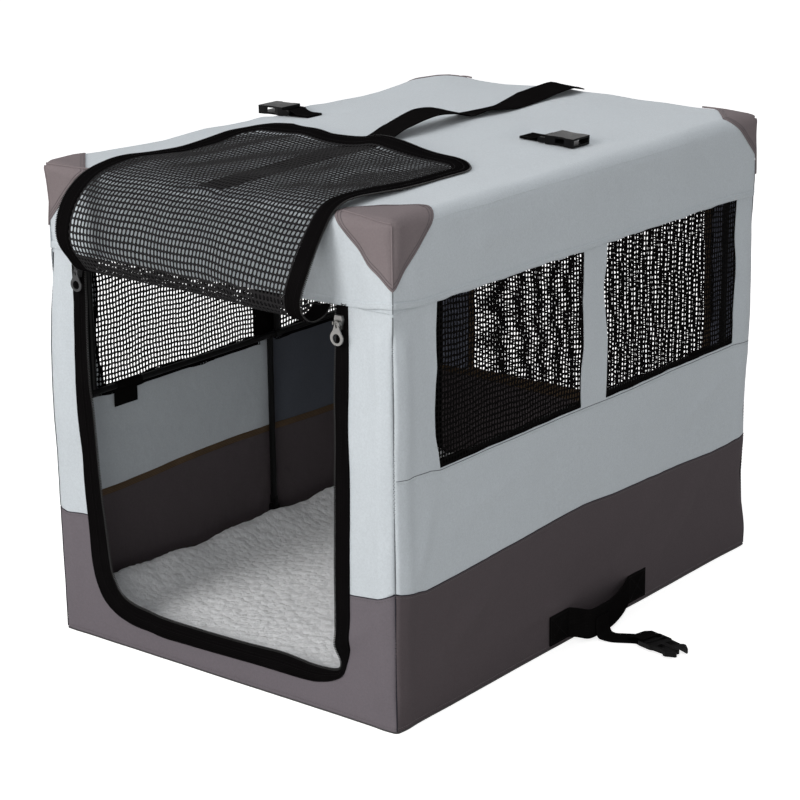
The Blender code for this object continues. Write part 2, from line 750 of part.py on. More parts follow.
def make_slider(side, sign):
    """A zip slider with a bail across its front, and the pull that swings on the bail."""
    x = DOOR_X + sign * SLIDER_X
    half_x, half_z = SLIDER_HALF
    outline = [(-half_x * 0.55, -half_z), (half_x * 0.55, -half_z), (half_x, half_z * 0.45),
               (half_x * 0.8, half_z), (-half_x * 0.8, half_z), (-half_x, half_z * 0.45)]
    place = facing((x, SLIDER_Y, SLIDER_Z), AXIS_X, AXIS_Z, -AXIS_Y)
    obj = add_solid("zip_slider_" + side, plate(outline, [], SLIDER_T, place), "slider_" + side, "zip_metal")
    parts = []
    for end in (-1, 1):
        lug = rectangle(-0.0019, 0.0019, -0.0010, BAIL_STAND + 0.0018)
        start = x + end * 0.0042 - 0.0006
        lug_place = facing((start, SLIDER_Y - SLIDER_T, SLIDER_Z), AXIS_Z, -AXIS_Y, AXIS_X)
        parts.append(plate(lug, [], 0.0012, lug_place))
    parts.append(rod((x - 0.0044, bail_y(), SLIDER_Z), (x + 0.0044, bail_y(), SLIDER_Z), BAIL_R, 8))
    add_boolean(obj, join(*parts), "UNION", overlapping=True)


def make_pull(side, sign):
    """The pull: a rolled eye round the bail and a teardrop tag below it."""
    x = DOOR_X + sign * SLIDER_X
    y = bail_y()
    eye = circle(BAIL_R + 0.0015, 10)
    bore = circle(BAIL_R + 0.0004, 10)
    place = facing((x - 0.0024, y, SLIDER_Z), AXIS_Y, AXIS_Z, AXIS_X)
    obj = add_solid("zip_pull_" + side, plate(eye, [bore], 0.0048, place), "pull_" + side, "zip_metal")
    foot = 0.0047
    drop = PULL_LENGTH - foot
    tag = [(0.0022, -0.0020)] + [(p[0], p[1] - drop) for p in arc((0, 0), foot, 20, -200, 8)]
    tag.append((-0.0022, -0.0020))
    slot = [(p[0] * 0.5, p[1] * 1.7 - drop + 0.003) for p in circle(foot * 0.8, 10)]
    tag_place = facing((x, y + PULL_T / 2, SLIDER_Z), AXIS_X, AXIS_Z, -AXIS_Y)
    add_boolean(obj, plate(tag, [slot], PULL_T, tag_place), "UNION")


# Straps and buckles


def mirror_path(points, sign):
    return [(sign * x, y, z) for x, y, z in points]


def smooth_path(points, steps=3):
    """A smooth curve through hand-placed points."""
    vectors = [Vector(p) for p in points]
    padded = [2 * vectors[0] - vectors[1]] + vectors + [2 * vectors[-1] - vectors[-2]]
    curve = []
    for i in range(1, len(padded) - 2):
        a, b, c, d = padded[i - 1:i + 3]
        for k in range(steps):
            t = k / steps
            curve.append(0.5 * (2 * b + (c - a) * t + (2 * a - 5 * b + 4 * c - d) * t * t
                                + (3 * b - a - 3 * c + d) * t ** 3))
    return curve + [vectors[-1]]


def make_carry_strap():
    """The webbing handle along the roof, sewn down at both ends and slack between them."""
    x = CARRY_X
    rises = ((-0.376, 0.0), (-0.300, 0.0), (-0.190, 0.0), (-0.130, 0.0), (-0.088, 0.0008),
             (-0.062, 0.005), (-0.025, 0.014), (0.035, 0.022), (0.085, 0.013), (0.112, 0.003),
             (0.135, 0.0008), (0.165, 0.0008), (0.205, 0.002), (0.245, 0.0035), (0.278, 0.006),
             (0.310, 0.011), (0.336, 0.0145), (0.356, 0.0105), (0.370, 0.003), (0.380, 0.0006))
    points = [(x, y, roof_at(x, y) + WEB_T / 2 + 2 * GAP + rise) for y, rise in rises]
    path = smooth_path(points, 2)
    strap = sweep(path, band(CARRY_WIDTH), AXIS_X)
    add_solid("carry_strap", strap, "top", "webbing", smooth=True)


def socket_outline():
    """Half of the roof buckle's outline from above: waisted where the fingers press."""
    return [(0.0080, 0.0190), (0.0160, 0.0190), (0.0230, 0.0170), (0.0340, 0.0170),
            (0.0400, 0.0190), (0.0500, 0.0190)]


def make_roof_buckle(side, sign):
    """A side-release socket that swings on a round bar, and the webbing that holds it."""
    bar_x, bar_y = ROOF_BARS[side]
    inner, outer = bar_x - sign * 0.034, bar_x + sign * 0.050
    fall = (roof_at(inner, bar_y) - roof_at(outer, bar_y)) / abs(outer - inner)
    out = Vector((sign, 0, -fall)).normalized()
    up = Vector((sign * fall, 0, 1)).normalized()
    place = facing((bar_x, bar_y, roof_bar_z(side)), out, AXIS_Y, up)
    half = socket_outline()
    outline = half + [(u, -v) for u, v in reversed(half)]
    low = -ROOF_BAR_RISE + GAP
    shell = plate(outline, [], 0.0115, place @ Matrix.Translation((0, 0, low)))
    obj = add_solid("roof_buckle_" + side, shell, "socket_" + side, "plastic")
    parts = []
    for end in (-1, 1):
        cheek = [(0.010, -0.0028), (0.010, 0.0040)] + arc((0, 0), 0.0036, 90, 270, 5)
        start = 0.0165 if end > 0 else -0.0190
        cheek_place = place @ facing((0, start, 0), AXIS_X, AXIS_Z, AXIS_Y)
        parts.append(plate(cheek, [], 0.0025, cheek_place))
    bar_ends = [place @ Vector((0, end * 0.0178, 0)) for end in (-1, 1)]
    parts.append(rod(*bar_ends, 0.0020, 10))
    add_boolean(obj, join(*parts), "UNION", overlapping=True)
    mouth = plate(rectangle(-0.0160, 0.0160, low + 0.0025, low + 0.0090), [], 0.0370,
                  place @ facing((0.0150, 0, 0), AXIS_Y, AXIS_Z, AXIS_X))
    add_boolean(obj, mouth, "DIFFERENCE")
    window = plate(rectangle(0.0220, 0.0360, low + 0.0025, low + 0.0090), [], 0.0500,
                   place @ facing((0, -0.0250, 0), AXIS_X, AXIS_Z, AXIS_Y))
    add_boolean(obj, window, "DIFFERENCE")

    lower = -ROOF_BAR_RISE + WEB_T * 0.375 + GAP
    turn = [(u, v) for u, v in arc((0, 0), 0.0031, -80, 80, 6)]
    loop = [(-0.034, lower), (-0.020, lower), (-0.008, lower + 0.0001), (-0.003, -0.0033)] + turn
    loop += [(-0.004, 0.0026), (-0.010, 0.0000), (-0.016, lower + 0.0019), (-0.024, lower + 0.0017),
             (-0.034, lower + 0.0017)]
    path = [place @ Vector((u, 0, v)) for u, v in loop]
    webbing = sweep(path, band(STRAP_WIDTH, WEB_T * 0.75), AXIS_Y)
    add_solid("roof_webbing_" + side, webbing, "top", "webbing", smooth=True)


def make_side_handle(side, sign):
    """The low carry handle: webbing on edge, sewn flat at both ends, slack in the middle."""
    wall = HALF_W + GAP + WEB_T / 2
    front = [(wall, -0.084, 0.0255), (wall, -0.044, 0.0255)]
    slack = [(wall + 0.0010, -0.0415, 0.0255), (wall + 0.009, -0.036, 0.0250),
             (0.2935, -0.031, 0.0242), (0.2965, -0.021, 0.0236), (0.2967, -0.005, 0.0235),
             (0.2963, 0.013, 0.0236), (0.2925, 0.036, 0.0240), (0.2850, 0.064, 0.0248),
             (0.2775, 0.084, 0.0253), (wall + 0.0010, 0.0935, 0.0255)]
    rear = [(wall, 0.096, 0.0255), (wall, 0.136, 0.0255)]
    path = mirror_path(front + [tuple(p) for p in smooth_path(slack, 2)] + rear, sign)
    handle = sweep(path, band(HANDLE_WIDTH), AXIS_Z)
    add_solid("side_handle_" + side, handle, "handle_" + side, "webbing", smooth=True)


def make_pack_strap(side, sign):
    """The strap that goes over the folded crate: sewn to the handle, looped through its buckle."""
    x, y, z = STRAP_ROOT
    hanging = [(x, y, z), (x, y, 0.018), (x + 0.0006, y, 0.0095), (x + 0.0045, y, 0.0032)]
    lying = [(0.3140, -0.0022, 0.0014), (0.3260, 0.0038, 0.0014), (0.3370, 0.0102, 0.0014)]
    turn = [(-0.0110, 0.0014), (-0.0020, 0.0014), (0.0045, 0.0016), (0.0070, 0.0035),
            (0.0076, 0.0066), (0.0066, 0.0098), (0.0030, 0.0116), (-0.0050, 0.0112),
            (-0.0140, 0.0080), (-0.0220, 0.0054)]
    heading = Vector((math.cos(MALE_TURN), math.sin(MALE_TURN), 0))
    base = Vector((MALE_BASE[0], MALE_BASE[1], 0))
    loop = [base + heading * along + AXIS_Z * height for along, height in turn]
    points = mirror_path(hanging + lying + [tuple(p) for p in loop], sign)
    ways = [AXIS_X] * 4 + [Vector((1, 0.35, 0)), Vector((1, 0.55, 0)), Vector((1, 0.45, 0))]
    ways += [heading] * len(turn)
    across = [AXIS_Z.cross(Vector((sign * way.x, way.y, 0))) for way in ways]
    strap = sweep(points, band(STRAP_WIDTH, 0.0014), across)
    add_solid("pack_strap_" + side, strap, "strap_" + side, "webbing", smooth=True)


def male_half():
    """Half of the plug's outline from above: bar, arm with its barb, and centre guide."""
    return [(0.0, 0.0175), (0.0020, 0.0190), (0.0220, 0.0190), (0.0260, 0.0165), (0.0420, 0.0155),
            (0.0450, 0.0185), (0.0490, 0.0185), (0.0600, 0.0110), (0.0600, 0.0085),
            (0.0520, 0.0100), (0.0300, 0.0120), (0.0270, 0.0100), (0.0270, 0.0035),
            (0.0520, 0.0030), (0.0545, 0.0015)]


def make_male_buckle(side, sign):
    """The plug of the side-release buckle, lying where the strap ends."""
    half = male_half()
    outline = half + [(u, -v) for u, v in reversed(half)]
    slots = [rectangle(0.0050, 0.0100, -0.0158, 0.0158), rectangle(0.0135, 0.0185, -0.0158, 0.0158)]
    turn = Matrix.Rotation(MALE_TURN, 4, "Z")
    place = Matrix.Diagonal((sign, 1, 1, 1)) @ Matrix.Translation(MALE_BASE) @ turn
    plug = plate(outline, slots, 0.0060, place)
    add_solid("male_buckle_" + side, plug, "strap_" + side, "plastic")


def make_straps():
    make_carry_strap()
    for side, sign in (("left", -1), ("right", 1)):
        make_roof_buckle(side, sign)
        make_side_handle(side, sign)
        make_pack_strap(side, sign)
        make_male_buckle(side, sign)


make_bodies()
make_frame()
make_fabric()
make_flap()
for zip_side, zip_sign in (("left", -1), ("right", 1)):
    make_slider(zip_side, zip_sign)
    make_pull(zip_side, zip_sign)
make_straps()
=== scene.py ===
"""Looks of the soft dog crate: sewn fabric, net, webbing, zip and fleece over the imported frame."""

import math

import bmesh
import bpy
import numpy as np
from mathutils import Matrix, Vector
from mathutils.geometry import delaunay_2d_cdt


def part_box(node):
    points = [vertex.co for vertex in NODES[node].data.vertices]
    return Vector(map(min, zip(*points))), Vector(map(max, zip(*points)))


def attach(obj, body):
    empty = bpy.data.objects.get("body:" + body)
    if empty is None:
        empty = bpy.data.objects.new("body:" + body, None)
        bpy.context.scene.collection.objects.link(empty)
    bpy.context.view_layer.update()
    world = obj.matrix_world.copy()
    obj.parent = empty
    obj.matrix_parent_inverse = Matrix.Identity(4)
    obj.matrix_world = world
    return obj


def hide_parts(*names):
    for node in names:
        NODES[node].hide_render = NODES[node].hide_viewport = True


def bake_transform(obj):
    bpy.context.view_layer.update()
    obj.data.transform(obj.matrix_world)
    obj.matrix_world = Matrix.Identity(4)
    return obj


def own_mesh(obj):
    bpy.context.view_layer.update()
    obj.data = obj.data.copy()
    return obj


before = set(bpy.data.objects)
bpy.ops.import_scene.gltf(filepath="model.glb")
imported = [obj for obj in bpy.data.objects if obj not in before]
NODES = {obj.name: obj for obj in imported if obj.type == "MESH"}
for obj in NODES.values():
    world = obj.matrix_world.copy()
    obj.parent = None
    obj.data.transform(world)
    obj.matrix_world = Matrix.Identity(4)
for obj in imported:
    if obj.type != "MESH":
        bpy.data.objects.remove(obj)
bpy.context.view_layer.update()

# The crate's main sizes, repeated from the part's source, in metres
HALF_W, HALF_L = 0.2715, 0.3935
ROOF_Z, SKIRT_Z = 0.6085, 0.505
CLOTH = 0.0009
DOOR_X, CARRY_X = -0.008, -0.012
FLAP_HALF = 0.193
FLAP_CUTS = (0.0, 0.0535, 0.103, 0.156, 0.4635)
FLAP_JOINTS = (0.0285, 0.0785, 0.1275, 0.1845)
HANDS = {"left": -1, "right": 1}
WINDOWS = ((-0.316, -0.018), (0.035, 0.348))
WINDOW_LOW, WINDOW_HIGH = 0.3040, 0.5040
BACK_WINDOW = (-0.200, 0.200, 0.175, 0.498)
ROOF_BARS = {"left": (-0.240, 0.045), "right": (0.1535, 0.075)}

# The four sides, anticlockwise from above, as a girth coordinate u runs round them
SIDES = ("front", "right", "back", "left")
HALVES = np.array((HALF_W, HALF_L, HALF_W, HALF_L))
STARTS = (0.0, 2 * HALF_W, 2 * HALF_W + 2 * HALF_L, 4 * HALF_W + 2 * HALF_L)
GIRTH = 4 * (HALF_W + HALF_L)
TANGENTS = np.array(((1, 0), (0, 1), (-1, 0), (0, -1)), float)
NORMALS = np.array(((0, -1), (1, 0), (0, 1), (-1, 0)), float)
CORNER_U = dict(zip(("front_left", "front_right", "back_right", "back_left"), STARTS))


def smooth(t):
    t = np.clip(t, 0, 1)
    return t * t * (3 - 2 * t)


def bump(distance, width):
    return np.exp(-(distance / width) ** 2)


def matched(*values):
    """The values as arrays of one shape."""
    return np.broadcast_arrays(*(np.asarray(v, float) for v in values))


def unit(way):
    return way / np.maximum(np.linalg.norm(way, axis=-1, keepdims=True), 1e-9)


def square_to(way, forward):
    """The direction nearest to way that is square to forward."""
    return unit(way - forward * (way * forward).sum(axis=-1, keepdims=True))


def ends_of(side):
    """Where a side starts and ends round the girth."""
    index = SIDES.index(side)
    return STARTS[index], STARTS[index] + 2 * HALVES[index]


def along(side, a):
    """Girth coordinate of a place on a side: x on the front, y on the right, and so on round."""
    index = SIDES.index(side)
    return STARTS[index] + HALVES[index] + (a if index < 2 else -a)


def past(u, place):
    """How far u is past a place on the way round, negative before it."""
    return (u - place + GIRTH / 2) % GIRTH - GIRTH / 2


def corner_gap(u):
    """Distance round the girth to the nearest vertical corner."""
    return np.minimum.reduce([np.abs(past(u, place)) for place in STARTS])


def make_waves(seed, count, turns, rise):
    """Random waves round the girth: (turns round it, radians per metre of height, phase, size)."""
    rng = np.random.default_rng(seed)
    return [(rng.integers(*turns), rng.uniform(-rise, rise), rng.uniform(0, 2 * math.pi),
             rng.uniform(0.5, 1.0)) for _ in range(count)]


def add_waves(waves, u, z):
    total = np.zeros(np.broadcast(u, z).shape)
    for turns, rise, phase, size in waves:
        total += size * np.cos(2 * math.pi * turns * u / GIRTH + rise * z + phase)
    return total / math.sqrt(len(waves))


BROAD = make_waves(11, 9, (5, 15), 14)
MIDDLE = make_waves(12, 14, (18, 42), 60)
FINE = make_waves(13, 16, (70, 150), 200)

# How far each vertical corner leans out along its diagonal, by height, in millimetres
CORNER_Z = (0.02, 0.065, 0.11, 0.155, 0.20, 0.245, 0.29, 0.335, 0.38, 0.425, 0.47, 0.515, 0.56, 0.60)
CORNER_OUT = {
    "front_left": (2.4, 2.6, 3.0, 3.3, 3.6, 3.8, 5.2, 5.4, 4.4, 1.8, -3.0, -5.0, -4.4, 1.0),
    "front_right": (0.8, 0.2, -0.6, 0.8, 1.6, 0.4, -0.6, 0.6, 1.8, 1.0, -0.4, 0.8, 1.2, 0.6),
    "back_right": (4.4, -2.0, -5.4, -2.4, -3.6, -2.0, 0.0, 1.4, 1.0, 0.2, -1.0, -2.0, 0.4, 1.0),
    "back_left": (1.2, 0.4, -0.8, 0.6, 2.0, 2.6, 2.4, 0.8, -0.6, 0.2, 1.2, 0.4, -0.6, 0.8),
}
# Height of the roll of cloth beside each corner seam, and depth of the seam, in metres
CORNER_ROLL = {"front_left": (0.0022, 0.0022), "front_right": (0.0046, 0.0040),
               "back_right": (0.0022, 0.0022), "back_left": (0.0030, 0.0026)}

# Folds in the cloth: (side, place, height, half length, half width, heading in degrees, size in millimetres)
CREASES = (
    ("front", 0.222, 0.560, 0.060, 0.011, 84, -2.2), ("front", 0.242, 0.545, 0.050, 0.010, 80, 2.7),
    ("front", 0.236, 0.425, 0.085, 0.012, 112, -1.5), ("front", 0.215, 0.330, 0.080, 0.013, 105, 2.5),
    ("front", 0.235, 0.215, 0.050, 0.010, 60, -1.2), ("front", 0.190, 0.095, 0.060, 0.012, 38, 3.7),
    ("front", 0.120, 0.070, 0.070, 0.009, 12, -1.8), ("front", -0.120, 0.070, 0.070, 0.010, -10, 2.7),
    ("front", -0.235, 0.230, 0.060, 0.012, 70, -1.6), ("front", -0.245, 0.380, 0.090, 0.012, 96, 3.1),
    ("right", -0.330, 0.455, 0.080, 0.012, 100, -1.4), ("right", -0.345, 0.215, 0.060, 0.012, 70, 2.7),
    ("right", -0.200, 0.245, 0.110, 0.014, 12, 2.2), ("right", 0.100, 0.230, 0.120, 0.016, -8, -1.2),
    ("right", 0.290, 0.245, 0.080, 0.012, 18, 2.4), ("right", -0.250, 0.100, 0.090, 0.015, 28, 4.4),
    ("right", 0.030, 0.085, 0.110, 0.016, 12, -2.2), ("right", 0.230, 0.100, 0.080, 0.013, 40, 5.1),
    ("right", 0.320, 0.085, 0.060, 0.011, 66, -2.4), ("right", 0.130, 0.120, 0.060, 0.013, 58, 4.1),
    ("right", -0.100, 0.055, 0.090, 0.012, 6, 3.4), ("right", -0.371, 0.560, 0.036, 0.012, 78, -2.4),
    ("right", -0.180, 0.560, 0.120, 0.014, 6, 2.4), ("right", 0.140, 0.555, 0.110, 0.014, -6, -1.2),
    ("left", -0.250, 0.240, 0.100, 0.014, 14, 1.4), ("left", 0.180, 0.240, 0.110, 0.015, -12, -1.4),
    ("left", 0.050, 0.100, 0.110, 0.015, 10, 1.8), ("back", 0.080, 0.110, 0.090, 0.014, 14, 1.8),
    ("back", -0.120, 0.130, 0.080, 0.013, -20, -1.6), ("back", 0.150, 0.550, 0.080, 0.013, 10, 1.4),
)


def drift(u, z):
    """How far the slack fabric stands out from the flat wall."""
    u, z = matched(u, z)
    near = corner_gap(u)
    out = 0.0013 * add_waves(BROAD, u, z) + 0.00045 * add_waves(MIDDLE, u, z)
    out *= 0.35 + 0.65 * smooth(near / 0.05)
    out += 0.00012 * add_waves(FINE, u, z)
    for name, place in CORNER_U.items():
        gap = np.abs(past(u, place))
        shift = np.interp(z, CORNER_Z, CORNER_OUT[name]) * 0.001
        out += shift * bump(gap, np.where(shift > 0, 0.075, 0.026))
        roll, depth = CORNER_ROLL[name]
        out += smooth((0.50 - z) / 0.04) * (roll * bump(gap - 0.019, 0.012) - depth * bump(gap, 0.0028))
    for side, place, height, length, width, heading, size in CREASES:
        ahead, turn = past(u, along(side, place)), math.radians(heading)
        lengthwise = ahead * math.cos(turn) + (z - height) * math.sin(turn)
        across = (z - height) * math.cos(turn) - ahead * math.sin(turn)
        out += 0.001 * size * bump(lengthwise, length) * bump(across, width)
    out = np.maximum(out, np.where(near > 0.034, -0.0012, -0.0065))
    return out * (0.25 + 0.75 * smooth((z - 0.004) / 0.05))


def wall(u, z, out):
    """Points and outward directions of the wall, at a place round the girth and a height."""
    u, z, out = matched(np.asarray(u, float) % GIRTH, z, out)
    index = np.searchsorted(np.array(STARTS), u, side="right") - 1
    half, far = HALVES[index], HALVES[::-1][index]
    radius = 0.0025 + 0.0095 * smooth((z - 0.52) / 0.07)
    a = u - np.array(STARTS)[index] - half
    angle = np.clip((np.abs(a) - half + radius) / radius, 0, 1) * math.pi / 4
    side = np.sign(a)
    straight = np.where(angle > 0, side * (half - radius + radius * np.sin(angle)), a)
    depth = far - radius + radius * np.cos(angle)
    tangent, normal = TANGENTS[index], NORMALS[index]
    flat = tangent * straight[..., None] + normal * depth[..., None]
    way = tangent * (side * np.sin(angle))[..., None] + normal * np.cos(angle)[..., None]
    points = np.concatenate((flat + way * out[..., None], z[..., None]), axis=-1)
    return points, np.concatenate((way, np.zeros(z.shape + (1,))), axis=-1)


def skin(u, z, out=0.0):
    """A point on the slack wall, at a distance out from it."""
    return wall(u, z, drift(u, z) + out)[0]


# ---------------------------------------------------------------- roof
# How far three of the roof's edges are lifted, in millimetres, by place along them
LEFT_LIFT = ((-0.39, -0.35, -0.31, -0.27, -0.23, -0.19, -0.15, -0.11, -0.07, -0.03, 0.01, 0.09, 0.13,
              0.17, 0.21, 0.25, 0.29, 0.33, 0.37, 0.39),
             (5.8, 8, 5.3, 4, 2.8, 1.6, 3.3, 5, 2.9, 2.3, 4.4, 5, 2, 1.8, 0.4, 0.4, 2, 3.7, 5.5, 5))
BACK_LIFT = ((-0.27, -0.225, -0.18, -0.135, -0.09, -0.045, 0, 0.045, 0.09, 0.135, 0.18, 0.225, 0.27),
             (3.9, 6.7, 5.1, 5.1, 7.9, 10.9, 8.2, 8.4, 5.9, 6.2, 3.9, 3.1, 0.5))
RIGHT_LIFT = ((-0.39, -0.30, -0.20, -0.10, 0.0, 0.10, 0.20, 0.30, 0.39),
              (1.5, 2.8, 1.6, 2.0, 2.8, 2.0, 3.2, 4.0, 2.0))
# Waves of the roof: (radians per metre, heading, phase)
ROOF_WAVES = [[np.random.default_rng(seed + i).uniform(low, high)
               for seed, low, high in ((70, 8, 48), (90, 0, 6.28), (50, 0, 6.28))] for i in range(12)]


def crown(inset):
    """Rise of the roof's plain arch, by distance in from its edge."""
    return 0.006 * (1 - (1 - np.clip((inset - 0.045) / 0.205, 0, 1)) ** 2)


def plane_waves(waves, x, y):
    """The sum of waves over a plane."""
    total = np.zeros(np.shape(x))
    for number, heading, phase in waves:
        total += np.cos(number * (x * math.cos(heading) + y * math.sin(heading)) + phase)
    return total / math.sqrt(len(waves))


def roof_lift(x, y):
    """Height of the roof's cloth above its edge line: crown, lifted edges and slack."""
    inset = np.minimum(HALF_W - np.abs(x), HALF_L - np.abs(y))
    plain = crown(inset)
    lift = plain + 0.001 * np.interp(y, *LEFT_LIFT) * bump(x + HALF_W, 0.050)
    lift += 0.001 * np.interp(x, *BACK_LIFT) * bump(y - HALF_L, 0.10)
    lift += 0.001 * np.interp(y, *RIGHT_LIFT) * bump(x - HALF_W, 0.07)
    lift += 0.0035 * smooth((y + 0.06) / 0.12) * smooth(inset / 0.10)
    diagonal = (HALF_W + x + HALF_L - y) / math.sqrt(2)
    lift += 0.0030 * bump(np.hypot(x + 0.220, y - 0.350), 0.044) - 0.0140 * (1 - smooth(diagonal / 0.060))
    lift += 0.0009 * plane_waves(ROOF_WAVES, x, y) * smooth(inset / 0.03)
    for bar_x, bar_y in ROOF_BARS.values():
        middle = bar_x + math.copysign(0.008, bar_x)
        away = np.maximum(np.abs(x - middle) - 0.042, np.abs(y - bar_y) - 0.019)
        lift += (plain - lift) * (1 - smooth(away / 0.035))
    under = smooth((-0.075 - y) / 0.03) * smooth((0.20 - np.abs(x)) / 0.02)
    return np.where(under > 0, np.minimum(lift, 0.0068 + 0.02 * (1 - under)), lift)


def roof_z(x, y):
    return ROOF_Z + roof_lift(np.asarray(x, float), np.asarray(y, float))


def edge_radius(u):
    """Radius over which the cover turns from skirt to roof: broad on the long right side."""
    right = (u > STARTS[1]) & (u < STARTS[2])
    return 0.010 + smooth(corner_gap(u) / 0.07) * (0.004 + 0.005 * right + 0.002 * (u > STARTS[3]))


def hem_height(u):
    """Height of the skirt's lower edge, drawn up or down at two corners."""
    return SKIRT_Z + 0.0055 * bump(past(u, STARTS[1]), 0.032) - 0.0045 * bump(past(u, STARTS[2]), 0.045)


def cover(u, t, out=0.0):
    """A point of the roof cover: t goes from 0 at the hem to 1 where the edge turns, and 2 on the roof."""
    u, t, out = matched(np.asarray(u, float) % GIRTH, t, out)
    radius, foot = edge_radius(u), hem_height(u)
    angle = np.clip(t - 1, 0, 1) * math.pi / 2
    flat_z = np.where(t < 1, foot + t * (ROOF_Z - radius - foot), ROOF_Z - radius + radius * np.sin(angle))
    slack = (drift(u, np.minimum(flat_z, 0.60)) + 0.0013) * np.cos(angle)
    points, way = wall(u, flat_z, slack - radius * (1 - np.cos(angle)))
    rise = smooth((flat_z - SKIRT_Z) / (ROOF_Z - SKIRT_Z))
    points[..., 2] += rise * roof_lift(points[..., 0], points[..., 1])
    way = way * np.cos(angle)[..., None]
    way[..., 2] = np.sin(angle)
    return points + way * out[..., None]


def skirt(u, z, out=0.0):
    """A place on the roof cover's skirt, by height."""
    radius, foot = edge_radius(np.asarray(u, float) % GIRTH), hem_height(u)
    return cover(u, (z - foot) / (ROOF_Z - radius - foot), out)


# ---------------------------------------------------------------- meshes
def put(name, data):
    """A new object in the scene."""
    obj = bpy.data.objects.new(name, data)
    bpy.context.scene.collection.objects.link(obj)
    return obj


def soften(mesh, degrees=50):
    mesh.shade_smooth()
    mesh.set_sharp_from_angle(angle=math.radians(degrees))


def new_object(name, points, faces, material, uv=None):
    """A mesh in the scene. uv is its cloth coordinates in metres, one pair for each vertex."""
    mesh = bpy.data.meshes.new(name)
    mesh.from_pydata([tuple(p) for p in points], [], [tuple(f) for f in faces])
    mesh.update()
    mesh.materials.append(material)
    if uv is not None:
        index = np.empty(len(mesh.loops), int)
        mesh.loops.foreach_get("vertex_index", index)
        mesh.uv_layers.new(name="cloth").data.foreach_set("uv", np.asarray(uv, float)[index].ravel())
    soften(mesh)
    return put(name, mesh)


def inside(points, polygon):
    """Which points are inside a closed polygon."""
    x, y = points[:, 0], points[:, 1]
    result = np.zeros(len(points), bool)
    for (x0, y0), (x1, y1) in zip(polygon, np.roll(polygon, -1, axis=0)):
        if y0 != y1:
            crosses = (y0 > y) != (y1 > y)
            result ^= crosses & (x < (x1 - x0) * (y - y0) / (y1 - y0) + x0)
    return result


def apart(points, marks, gap):
    """The points that are farther than gap from every mark."""
    far = np.ones(len(points), bool)
    for start in range(0, len(marks), 64):
        far &= np.linalg.norm(points[:, None] - marks[None, start:start + 64], axis=-1).min(axis=1) > gap
    return points[far]


def fill(outline, holes, step, extra=None):
    """Triangles over a flat outline with holes: (points, faces). extra is further points to use."""
    loops = [np.asarray(loop, float) for loop in (outline, *holes)]

    def covered(points):
        return inside(points, loops[0]) & ~np.any([inside(points, hole) for hole in loops[1:]], axis=0)

    low, high = loops[0].min(axis=0), loops[0].max(axis=0)
    columns, rows = (int(size) + 1 for size in (high - low) / (step, step * 0.866))
    i, j = np.meshgrid(np.arange(columns), np.arange(rows))
    grid = np.stack((low[0] + (i + 0.5 * (j % 2)) * step, low[1] + j * step * 0.866), axis=-1).reshape(-1, 2)
    rim = np.concatenate(loops)
    grid = apart(grid, rim, 0.55 * step)
    if extra is not None:
        extra = apart(extra, rim, 0.0009)
        grid = np.concatenate((extra, apart(grid, extra, 0.55 * step)))
    points = np.concatenate((rim, grid[covered(grid)]))
    edges, base = [], 0
    for loop in loops:
        edges += [(base + k, base + (k + 1) % len(loop)) for k in range(len(loop))]
        base += len(loop)
    result = delaunay_2d_cdt([Vector(p) for p in points], edges, [], 0, 1e-7)
    points, faces = np.array([tuple(v) for v in result[0]]), np.array(result[2])
    faces = faces[covered(points[faces].mean(axis=1))]
    a, b, c = (points[faces[:, k]] for k in range(3))
    turn = np.cross(b - a, c - a)
    faces[turn < 0] = faces[turn < 0][:, ::-1]
    return points, faces


def rim_edges(faces):
    """Directed edges that only one face has."""
    seen = {(a, b): True for face in faces for a, b in zip(face, np.roll(face, -1))}
    return [(a, b) for a, b in seen if (b, a) not in seen]


def two_sided(faces, count):
    """The faces of a sheet, of its other side, count points on, and of the rim between the two."""
    both = [tuple(f) for f in faces] + [tuple(count + k for k in f[::-1]) for f in faces]
    return both + [(b, a, count + a, count + b) for a, b in rim_edges(faces)]


def cloth(name, flat, faces, surface, thick, material, out=0.0, lining=None, shaded_from=-1.0):
    """A sheet with two sides, its outer one on surface(u, v, out). lining is a material of painted shade
    for the inner side, from the depth shaded_from backwards."""
    outer, inner = (surface(flat[:, 0], flat[:, 1], o) for o in (out, out - thick))
    both = two_sided(faces, len(flat))
    obj = new_object(name, np.concatenate((outer, inner)), both, material, np.concatenate((flat, flat)))
    if lining:
        obj.data.materials.append(lining)
        slots = np.zeros(len(both), np.int32)
        slots[len(faces):2 * len(faces)] = inner[faces[:, 0], 1] > shaded_from
        obj.data.polygons.foreach_set("material_index", slots)
    return obj


def dense(points, step, closed=False):
    """The same path with a point at least every step."""
    points = [np.asarray(p, float) for p in points]
    if closed:
        points.append(points[0])
    result = []
    for a, b in zip(points[:-1], points[1:]):
        count = max(1, int(math.ceil(np.linalg.norm(b - a) / step)))
        result += [a + (b - a) * k / count for k in range(count)]
    return np.array(result if closed else result + [points[-1]])


def loop_of(*parts):
    """A closed outline from paths that follow each other, without the points that repeat."""
    return np.concatenate([part[:-1] if np.linalg.norm(part[-1] - after[0]) < 1e-7 else part
                           for part, after in zip(parts, parts[1:] + parts[:1])])


def measured(path):
    """Length of a path up to each of its points."""
    return np.concatenate(((0,), np.cumsum(np.linalg.norm(np.diff(path, axis=0), axis=1))))


def sample(places, lengths, path):
    """Points of a path at places along it."""
    return np.stack([np.interp(places, lengths, column) for column in path.T], axis=-1)


def evenly(path, step, closed=False):
    """Points at equal distances along a path, and the directions there."""
    path = np.asarray(path, float)
    if closed:
        path = np.concatenate((path, path[:1]))
    lengths = measured(path)
    count = max(2, int(round(lengths[-1] / step)))
    places = lengths[-1] * np.arange(count + (not closed)) / count
    way = sample(places + 0.0005, lengths, path) - sample(places - 0.0005, lengths, path)
    return sample(places, lengths, path), unit(way)


